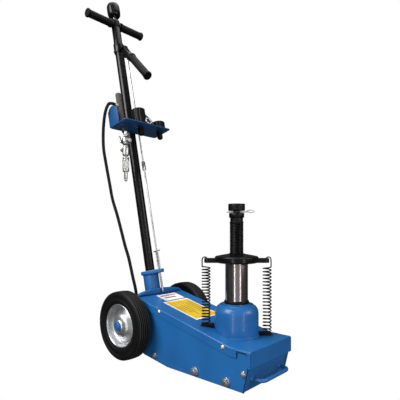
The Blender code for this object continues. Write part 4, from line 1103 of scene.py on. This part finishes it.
# %% Release knob and rod
knob = [(0, KNOB_TOP), (0.0080, KNOB_TOP - 0.0002), (0.0140, KNOB_TOP - 0.0016), (0.0188, KNOB_TOP - 0.0048),
        (0.0217, KNOB_TOP - 0.0100), (0.0230, KNOB_TOP - 0.0170), (0.0232, KNOB_TOP - 0.0260),
        (0.0230, KNOB_BOTTOM + 0.0150), (0.0218, KNOB_BOTTOM + 0.0070), (0.0185, KNOB_BOTTOM + 0.0018),
        (0.0130, KNOB_BOTTOM), (0.0068, KNOB_BOTTOM), (0.0068, KNOB_BOTTOM + 0.03), (0, KNOB_BOTTOM + 0.03)]


def flutes(angle, radius, height):
    """Eight shallow finger flutes that fade out over the knob's top and bottom."""
    if radius < 0.0150:
        return radius
    share = math.sin(math.pi * min(1.0, max(0.0, (height - KNOB_BOTTOM) / (KNOB_TOP - KNOB_BOTTOM))))
    return radius - 0.0009 * share * (0.5 + 0.5 * math.cos(8 * angle)) ** 2


add("knob", lathe(knob, 96, edge=0.0010, wave=flutes), black, "release_control", "release_knob", HANDLE, 60)
rod = [(0, 1.0955), (0.0062, 1.0955), (0.0062, 0.045), (0, 0.045)]
add("release_stem", lathe(rod, 32), bright_zinc, "release_control", "release_rod", HANDLE)

# %% [markdown]
# ## Latch lever and rod
# A clamp on the tube carries a squeeze lever. Pulling it lifts a thin rod beside the tube, whose
# tip frees the handle. The rod is in two lengths with a clevis between them, and a light spring
# above the collar brings it back.

# %% Lever bracket
LEVER_PIVOT = (0.0243, 0.9336)
LEVER_TURN = Matrix.Rotation(math.radians(57.6), 4, "Y")
px, pz = LEVER_PIVOT


def bracket():
    """The clamp round the tube, two ears, the lever's pin and the clamp's bolt."""
    clamp = [(TUBE_HOLE, pz + 0.024), (0.0176, pz + 0.024), (0.0176, pz - 0.010), (TUBE_HOLE, pz - 0.010)]
    parts = [lathe(clamp, 56, ring=True, edge=0.0006)]
    for side in SIDES.values():
        line = [(0.0120, pz + 0.022), (0.0120, pz - 0.009), (px - 0.004, pz - 0.0100)]
        line += arc(px, pz, 0.0095, 280, 410, 12)
        parts.append(moved(plate([line], 0.0035, 0.0007), at(0, side * 0.0112, 0)))
    pin = lathe([(0, 0.0150), (0.0045, 0.0150), (0.0050, 0.0140), (0.0050, 0.0131), (0.0034, 0.0130),
                 (0.0034, -0.0130), (0.0050, -0.0131), (0.0050, -0.0140), (0.0045, -0.0150), (0, -0.0150)],
                28, edge=0.0003)
    parts.append(moved(pin, at(px, 0, pz, ALONG_Y)))
    tail = together(hexagon(0.0058, -0.0228, -0.0176), lathe([(0, -0.0170), (0.0034, -0.0170),
                                                              (0.0034, -0.0270),
                                                            (0.0028, -0.0275), (0, -0.0275)], 24))
    parts.append(moved(tail, at(0, 0, pz + 0.0100, ALONG_X)))
    return together(*parts)


add("lever_clamp", bracket(), black, "handle", "lever_bracket", HANDLE)

# %% Lever
LEVER = on_handle(px, 0, pz, LEVER_TURN)
lever_rod = lathe([(0, 0.1830), (0.0080, 0.1830), (0.0080, 0.0440), (0, 0.0440)], 32)
cheeks = []
for side in SIDES.values():
    line = [(0.0620, 0.0070), (0.0100, 0.0085)] + arc(0, 0, 0.0062, 110, 260, 10)
    line += [(0.0220, -0.0170), (0.0260, -0.0180), (0.0430, -0.0180), (0.0500, -0.0150), (0.0620, -0.0070)]
    cheeks.append(moved(plate([line, circle(0, 0, 0.0037, 20)], 0.0032, 0.0007), at(0, side * 0.0068, 0)))
add("lever_cheeks", together(*cheeks), black, "lever", "lock_lever", LEVER)
add("lever_bar", lever_rod, black, "lever", (), LEVER @ ALONG_X)
add("lever_hand_grip", grip(0.0083, 0.0650, 0.1885), rubber, "lever", "lever_grip", LEVER @ ALONG_X, 45)

# %% Latch rod
LATCH_LOW, LATCH_HIGH = Vector((LATCH_X, 0, 0.1344)), Vector((0.0375, 0, 0.8979))
LATCH_TURN = (LATCH_HIGH - LATCH_LOW).to_track_quat("Z", "Y").to_matrix().to_4x4()
LATCH = HANDLE @ Matrix.Translation(LATCH_LOW) @ LATCH_TURN
LATCH_LENGTH = (LATCH_HIGH - LATCH_LOW).length
LATCH_RADIUS = 0.0025
EYE_RADIUS = 0.0046
COIL_TURNS, COIL_STEPS, COIL_RADIUS = 12, 16, 0.0047
COIL_LOW, COIL_HIGH = 0.0185, 0.0706


def latch():
    """Two lengths of rod with a clevis between them, an eye at the top and a cross pin below."""
    upper = [(0, LATCH_LENGTH), (LATCH_RADIUS, LATCH_LENGTH), (LATCH_RADIUS, 0.3720), (0, 0.3720)]
    lower = [(0, 0.3480), (LATCH_RADIUS, 0.3480), (LATCH_RADIUS, 0.0), (0.0034, -0.002), (0.0034, -0.0520),
             (0.0022, -0.0562), (0, -0.0562)]
    parts = [lathe(upper, 24), lathe(lower, 24), brick((-0.0050, -0.0034, 0.3660), (0.0050, 0.0034, 0.3750),
                                                       0.0008),
             lathe([(0, 0.3510), (0.0042, 0.3510), (0.0042, 0.3450), (0, 0.3450)], 24)]
    for side in SIDES.values():
        parts.append(brick((-0.0045, side * 0.0034 - 0.0008, 0.3450),
                           (0.0045, side * 0.0034 + 0.0008, 0.3700), 0.0004))
    parts.append(moved(lathe([(0, 0.0060), (0.0018, 0.0060), (0.0018, -0.0060), (0, -0.0060)], 16),
                       at(0, 0, 0.3540, ALONG_Y)))
    eye = sweep([(EYE_RADIUS * math.cos(a), 0.0, LATCH_LENGTH - 0.003 + EYE_RADIUS * math.sin(a))
                 for a in (2 * math.pi * k / 28 for k in range(28))], 0.0016, 10, True)
    parts.append(eye)
    parts.append(moved(lathe([(0, 0.0150), (0.0018, 0.0150), (0.0018, -0.0150), (0, -0.0150)], 16),
                       at(0, 0, 0.0740, ALONG_Y)))
    return together(*parts)


add("latch_linkage", latch(), bright_zinc, "latch", "latch_rod", LATCH)
helix = []
for i in range(COIL_TURNS * COIL_STEPS + 1):
    a = 2 * math.pi * i / COIL_STEPS
    helix.append((COIL_RADIUS * math.cos(a), COIL_RADIUS * math.sin(a),
                  COIL_LOW + (COIL_HIGH - COIL_LOW) * i / (COIL_TURNS * COIL_STEPS)))
add("latch_return_coil", sweep(helix, 0.0008, 8), bright_zinc, "handle", "latch_spring", LATCH, 60)

# %% [markdown]
# ## Tray, adapters and air valve
# The tray is one folded sheet: a floor with holes for the adapters' stems, a low back against
# the tube, a tall rounded end plate by the valve and a gusset. The adapters have fluted heads.
# The air valve is a ribbed grey body. Behind the tray's end hang the inlet fittings, with a
# shut-off, and under them a quick coupler.

# %% Tray
TRAY_Z = 0.620
TRAY_REAR, TRAY_FRONT = 0.0156, 0.0990
TRAY_NEAR_Y, TRAY_FAR_Y = -0.0970, 0.0945
TRAY_UNDER = TRAY_Z - 0.0015
VALVE_X, VALVE_Y = 0.0350, -0.0600
# Each adapter's place on the floor, x and y, and the height of its head.
ADAPTERS = {"long": (0.0655, -0.0115, 0.0580), "short": (0.0665, 0.0705, 0.0290)}
ADAPTER_HOLE, VALVE_HOLE, LATCH_HOLE = 0.0100, 0.0066, 0.0050


def tray():
    """Floor, end plate, gusset and low back, each a cut sheet."""
    line = [(TRAY_REAR, TRAY_NEAR_Y), (TRAY_FRONT, TRAY_NEAR_Y), (TRAY_FRONT, TRAY_FAR_Y),
            (TRAY_REAR, TRAY_FAR_Y)]
    line = rounded(line, 0.010, True, 5)
    holes = [circle(x, y, ADAPTER_HOLE, 28) for x, y, _ in ADAPTERS.values()]
    holes += [circle(VALVE_X, VALVE_Y, VALVE_HOLE, 20), circle(0.0406, 0, LATCH_HOLE, 20)]
    floor = moved(plate([line] + holes, SHEET, 0.0006, I), at(0, 0, TRAY_Z - SHEET / 2))
    near = [(TRAY_REAR, TRAY_UNDER), (TRAY_REAR, 0.6700)] + arc(0.0400, 0.6600, 0.0245, 150, 20, 14)
    near += [(0.0650, 0.6400), (0.0650, TRAY_UNDER)]
    near = moved(plate([near], SHEET, 0.0006), at(0, TRAY_NEAR_Y + SHEET / 2, 0))
    gusset = [(TRAY_REAR, TRAY_UNDER), (TRAY_REAR, 0.7030), (0.0300, 0.6970), (0.0460, 0.6830),
              (0.0710, 0.6490), (0.0780, TRAY_UNDER)]
    gusset = moved(plate([gusset], SHEET, 0.0006), at(0, 0.0400, 0))
    back = brick((TRAY_REAR, -0.0950, TRAY_Z - 0.001), (TRAY_REAR + SHEET, 0.0600, 0.6500), 0.0005)
    return together(floor, near, gusset, back)


# The tray wears the darker blue, painted shade for its underside seen from below.
add("folded_tray", tray(), shaded_tray_blue, "handle", "tool_tray", HANDLE)


# %% Adapters
def adapter(head):
    """A saddle extension: a fluted head over a grooved stem that drops through the floor."""
    low, radius, stem = TRAY_Z + GAP, 0.0225, 0.0094
    line = [(0, low + head - 0.004), (0.0100, low + head - 0.004), (0.0110, low + head),
            (radius - 0.0012, low + head), (radius, low + head - 0.0012), (radius, low + 0.0012),
            (radius - 0.0012, low), (stem, low), (stem, low - 0.0060), (stem - 0.0012, low - 0.0075),
            (stem - 0.0012, low - 0.0115), (stem, low - 0.0130), (stem, low - 0.0260),
            (0.0060, low - 0.0300), (0, low - 0.0300)]

    def fluted(angle, r, z):
        """Scoops round the head, between its two rims."""
        if r < 0.0200 or not low + 0.003 < z < low + head - 0.002:
            return r
        return r - 0.0015 * max(0.0, math.cos(10 * angle)) ** 0.6
    dense = []
    for a, b in zip(line, line[1:]):
        dense.append(a)
        if a[0] == b[0] == radius:
            dense += [(radius, low + head - 0.0021), (radius, low + head - 0.0030), (radius, low + 0.0040),
                      (radius, low + 0.0031)]
    return lathe(dense + [line[-1]], 120, edge=0.0003, wave=fluted)


for adapter_name, (x, y, head) in ADAPTERS.items():
    add(f"fluted_adapter_{adapter_name}", adapter(head), oxide, f"{adapter_name}_adapter",
        f"adapter_{adapter_name}", on_handle(x, y, 0), 42)

# %% Clip rings on the tray's pins
for ring_name, x, y, z, tilt in (("long", 0.0905, 0.0060, 0.6340, 75), ("short", 0.0690, 0.0250, 0.6225, 8)):
    ring_points = [(cx, cy, 0.0) for cx, cy in circle(0, 0, 0.0105, 40)]
    ring_mesh = sweep(ring_points, 0.0013, 10, True)
    add(f"clip_ring_{ring_name}", ring_mesh, cream, "handle", (),
        on_handle(x, y, z, Matrix.Rotation(math.radians(tilt), 4, "Y")))

# %% Air valve
valve_line = [(0, 0.7400), (0.0055, 0.7400), (0.0070, 0.7390), (0.0095, 0.7365)]
for k in range(14):
    z = 0.7330 - 0.0062 * k
    valve_line += [(0.0095, z), (0.0086, z - 0.0010), (0.0086, z - 0.0024), (0.0095, z - 0.0034)]
valve_line += [(0.0095, 0.6440), (0.0095, 0.6203), (0.0062, 0.6203), (0.0062, 0.6080), (0, 0.6080)]
valve = lathe(valve_line, 56, edge=0.0004)
add("ribbed_air_valve", valve, grey_valve, "handle", "air_valve", on_handle(VALVE_X, VALVE_Y, 0))
outlet_tail = [(0.0046, 0.0184), (0.0064, 0.0184), (0.0064, 0.0135), (0.0046, 0.0135)]
outlet = together(hexagon(0.0065, 0.0080, 0.0140, 0.0006), lathe(outlet_tail, 32, ring=True))
add("valve_outlet_nut", outlet, brass, "handle", (), on_handle(VALVE_X, VALVE_Y, 0.6960, SIDE_VIEW))

# %% Inlet fittings and coupler
INLET_X, INLET_Y = -0.4000, -0.0600
SHUT_OFF_Z = 0.6665
stack = [(0, 0.6985), (0.0055, 0.6985), (0.0055, 0.6900), (0.0078, 0.6895), (0.0078, 0.6860),
         (0.0062, 0.6850), (0.0062, 0.6820), (0.0085, 0.6790), (0.0110, 0.6760), (0.0116, 0.6665),
         (0.0110, 0.6570), (0.0085, 0.6540), (0.0070, 0.6520), (0.0070, 0.6480), (0.0100, 0.6460),
         (0.0108, 0.6440), (0.0108, 0.6220), (0.0100, 0.6200), (0.0060, 0.6190), (0.0060, 0.5470),
         (0.0048, 0.5450), (0.0048, 0.5400), (0.0038, 0.5370), (0, 0.5370)]
add("inlet_stack", lathe(stack, 48, edge=0.0005), zinc, "handle", "inlet_fittings", at(INLET_X, INLET_Y, 0))
shut_body = lathe([(0, 0.0230), (0.0060, 0.0230), (0.0075, 0.0215), (0.0075, -0.0175), (0.0060, -0.0190),
                   (0, -0.0190)], 40)
add("shut_off_body", shut_body, zinc, "handle", (), at(INLET_X, INLET_Y, SHUT_OFF_Z, ALONG_X))
elbow = [(-0.4140, INLET_Y, 0.7060), (-0.4120, INLET_Y, 0.6985), (-0.4060, INLET_Y, 0.6945),
         (INLET_X, INLET_Y, 0.6900)]
add("inlet_elbow", sweep(smooth_route(elbow, 16), 0.0052, 20), zinc, "handle")
drain = lathe([(0, -0.0240), (0.0042, -0.0240), (0.0050, -0.0230), (0.0050, -0.0200), (0.0034, -0.0190),
               (0.0034, -0.0150), (0.0055, -0.0140), (0.0055, -0.0080), (0, -0.0080)], 32, edge=0.0003)
add("drain_plug", drain, zinc, "handle", (), at(INLET_X, INLET_Y, 0.6400, ALONG_X))
coupler = [(0.0063, 0.6150), (0.0095, 0.6150), (0.0104, 0.6130), (0.0104, 0.6090), (0.0098, 0.6080),
           (0.0098, 0.6060), (0.0108, 0.6050), (0.0108, 0.5760), (0.0098, 0.5750), (0.0098, 0.5730),
           (0.0106, 0.5720), (0.0100, 0.5680), (0.0063, 0.5680)]


KNURLS = 36


def knurl(angle, radius, height):
    """Fine upright ridges on the coupler's sleeve."""
    if 0.5770 < height < 0.6040 and radius > 0.0105:
        return radius - 0.00025 * (1 + math.cos(KNURLS * angle))
    return radius


sleeve = coupler[:7] + [(0.0108, 0.6050 - 0.0290 * k / 8) for k in range(1, 8)] + coupler[7:]
add("quick_coupler", lathe(sleeve, 108, ring=True, edge=0.0004, wave=knurl), zinc, "coupler",
    "coupler_sleeve", at(INLET_X, INLET_Y, 0), 50)
wing = [(-0.0213, 0, 0.0), (-0.0250, 0, 0.0), (-0.0275, 0, 0.0030), (-0.0290, 0, 0.0080),
        (-0.0350, 0, 0.0200)]
wing_radii = [0.0026 + 0.0006 * k / 23 for k in range(24)]
add("shut_off_handle", sweep(smooth_route(wing, len(wing_radii)), wing_radii, 16), zinc, "shut_off",
    "shut_off_lever", at(INLET_X, INLET_Y, SHUT_OFF_Z))
print("handle made")

# %% [markdown]
# ## Inside the body
# The air motor, its piston, the release valve's stem and the pipe up to the hose show only from
# below or behind, but they are real pieces with real finishes, so each gets its own.

# %% Motor, piston, valve stem and pipe
MOTOR_PLACE = at(0, -0.035, 0.070, ALONG_X)
cup = [(0.0084, -0.0953), (0.016, -0.0953), (0.016, -0.131), (0.042, -0.131), (0.042, -0.245),
       (0.039, -0.245), (0.039, -0.135), (0.0084, -0.135)]
add("motor_cup", lathe(cup, 64, ring=True, edge=0.0012), blue, "chassis", "air_motor_cylinder", MOTOR_PLACE)
cap = [(0, -0.2453), (0.042, -0.2453), (0.042, -0.2530), (0.0400, -0.2550), (0.0200, -0.2550),
       (0.0190, -0.2535), (0, -0.2535)]
add("motor_cap", lathe(cap, 64, edge=0.0006), cast_blue, "chassis", "air_motor_cap", MOTOR_PLACE)
piston = [(0, -0.0720), (0.0080, -0.0720), (0.0080, -0.2200), (0.0387, -0.2200), (0.0387, -0.2320),
          (0, -0.2320)]
add("motor_piston", lathe(piston, 64), ground, "motor_piston", "air_piston", MOTOR_PLACE)
stem = [(0, -0.0703), (0.0060, -0.0710), (0.0060, -0.2500), (0.0090, -0.2520), (0.0090, -0.2780),
        (0, -0.2780)]
add("valve_stem", lathe(stem, 40), zinc, "release_valve", "release_valve_stem", at(0, 0.022, 0.075, ALONG_X))
pipe_route = [(-0.2554, -0.0550, 0.0930), (-0.2700, -0.0550, 0.0930), (-0.2900, -0.0560, 0.1120),
              (-0.3150, -0.0570, 0.1300), (-0.3380, -0.0585, 0.1380), (-0.3445, -0.0590, 0.1470),
              (-0.3445, -0.0590, 0.1580)]
pipe = together(sweep(smooth_route(pipe_route, 40), 0.0050, 16),
                moved(hexagon(0.0058, 0.1480, 0.1580, 0.0005), at(-0.3445, -0.0590, 0)))
add("hose_pipe", pipe, brass, "chassis", "hose_inlet_pipe")
barrel = [(0.0305, 0.1715), (0.0390, 0.1715), (0.0390, 0.0243), (0.0305, 0.0243)]
add("pump_barrel", lathe(barrel, 64, ring=True), oxide, "chassis", "cylinder_barrel")

# %% [markdown]
# ## Light
# The jack stands against plain white, as in a catalogue. The camera sees a white surround, while
# the surfaces see a darker one that is brightest behind the camera, so black paint stays black
# and the ram gets its bright middle. Three large soft lights and two strips beside the camera do
# the rest.

# %% Lights
def soft_light(name, place, target, size, power):
    """An area light that faces its target."""
    light = bpy.data.lights.new(name, "AREA")
    light.shape = "RECTANGLE"
    light.size, light.size_y = size
    light.energy = power
    lamp = bpy.data.objects.new(name, light)
    lamp.location = place
    lamp.rotation_euler = (Vector(target) - Vector(place)).to_track_quat("-Z", "Y").to_euler()
    bpy.context.scene.collection.objects.link(lamp)


soft_light("key", (-0.7, -2.2, 2.0), (-0.15, 0, 0.3), (1.6, 1.6), 88)
soft_light("front", (2.1, 0.6, 1.2), (0, 0, 0.3), (1.2, 1.2), 26)
soft_light("top", (-0.3, 0.2, 2.6), (-0.2, 0, 0.3), (1.8, 1.8), 34)
for strip_name, turn_from_camera, power in (("strip_left", -19.0, 9), ("strip_right", 38.0, 9)):
    angle = math.atan2(CAMERA_PLACE[1], CAMERA_PLACE[0]) + math.radians(turn_from_camera)
    soft_light(strip_name, (2.4 * math.cos(angle), 2.4 * math.sin(angle), 0.1), (0, 0, 0.25), (0.16, 2.2),
               power)


def surround():
    """White to the camera, and to everything else a dim room with a bright patch behind it."""
    world = bpy.data.worlds.new("studio")
    bpy.context.scene.world = world
    world.use_nodes = True
    nodes, links = world.node_tree.nodes, world.node_tree.links
    direction = nodes.new("ShaderNodeTexCoord")
    facing = nodes.new("ShaderNodeVectorMath")
    facing.operation = "DOT_PRODUCT"
    facing.inputs[1].default_value = (math.sin(CAMERA_TURN), -math.cos(CAMERA_TURN), 0.0)
    glow = nodes.new("ShaderNodeMapRange")
    glow.interpolation_type = "SMOOTHSTEP"
    for name, value in (("From Min", 0.62), ("From Max", 0.97), ("To Min", 0.08), ("To Max", 0.42)):
        glow.inputs[name].default_value = value
    rays = nodes.new("ShaderNodeLightPath")
    choice = nodes.new("ShaderNodeMix")
    choice.data_type = "FLOAT"
    choice.inputs["B"].default_value = 1.0
    background = nodes["Background"]
    background.inputs["Color"].default_value = (1.0, 1.0, 1.0, 1.0)
    links.new(direction.outputs["Generated"], facing.inputs[0])
    links.new(facing.outputs["Value"], glow.inputs["Value"])
    links.new(rays.outputs["Is Camera Ray"], choice.inputs["Factor"])
    links.new(glow.outputs["Result"], choice.inputs["A"])
    links.new(choice.outputs["Result"], background.inputs["Strength"])


surround()
bpy.context.scene.view_settings.view_transform = "Standard"
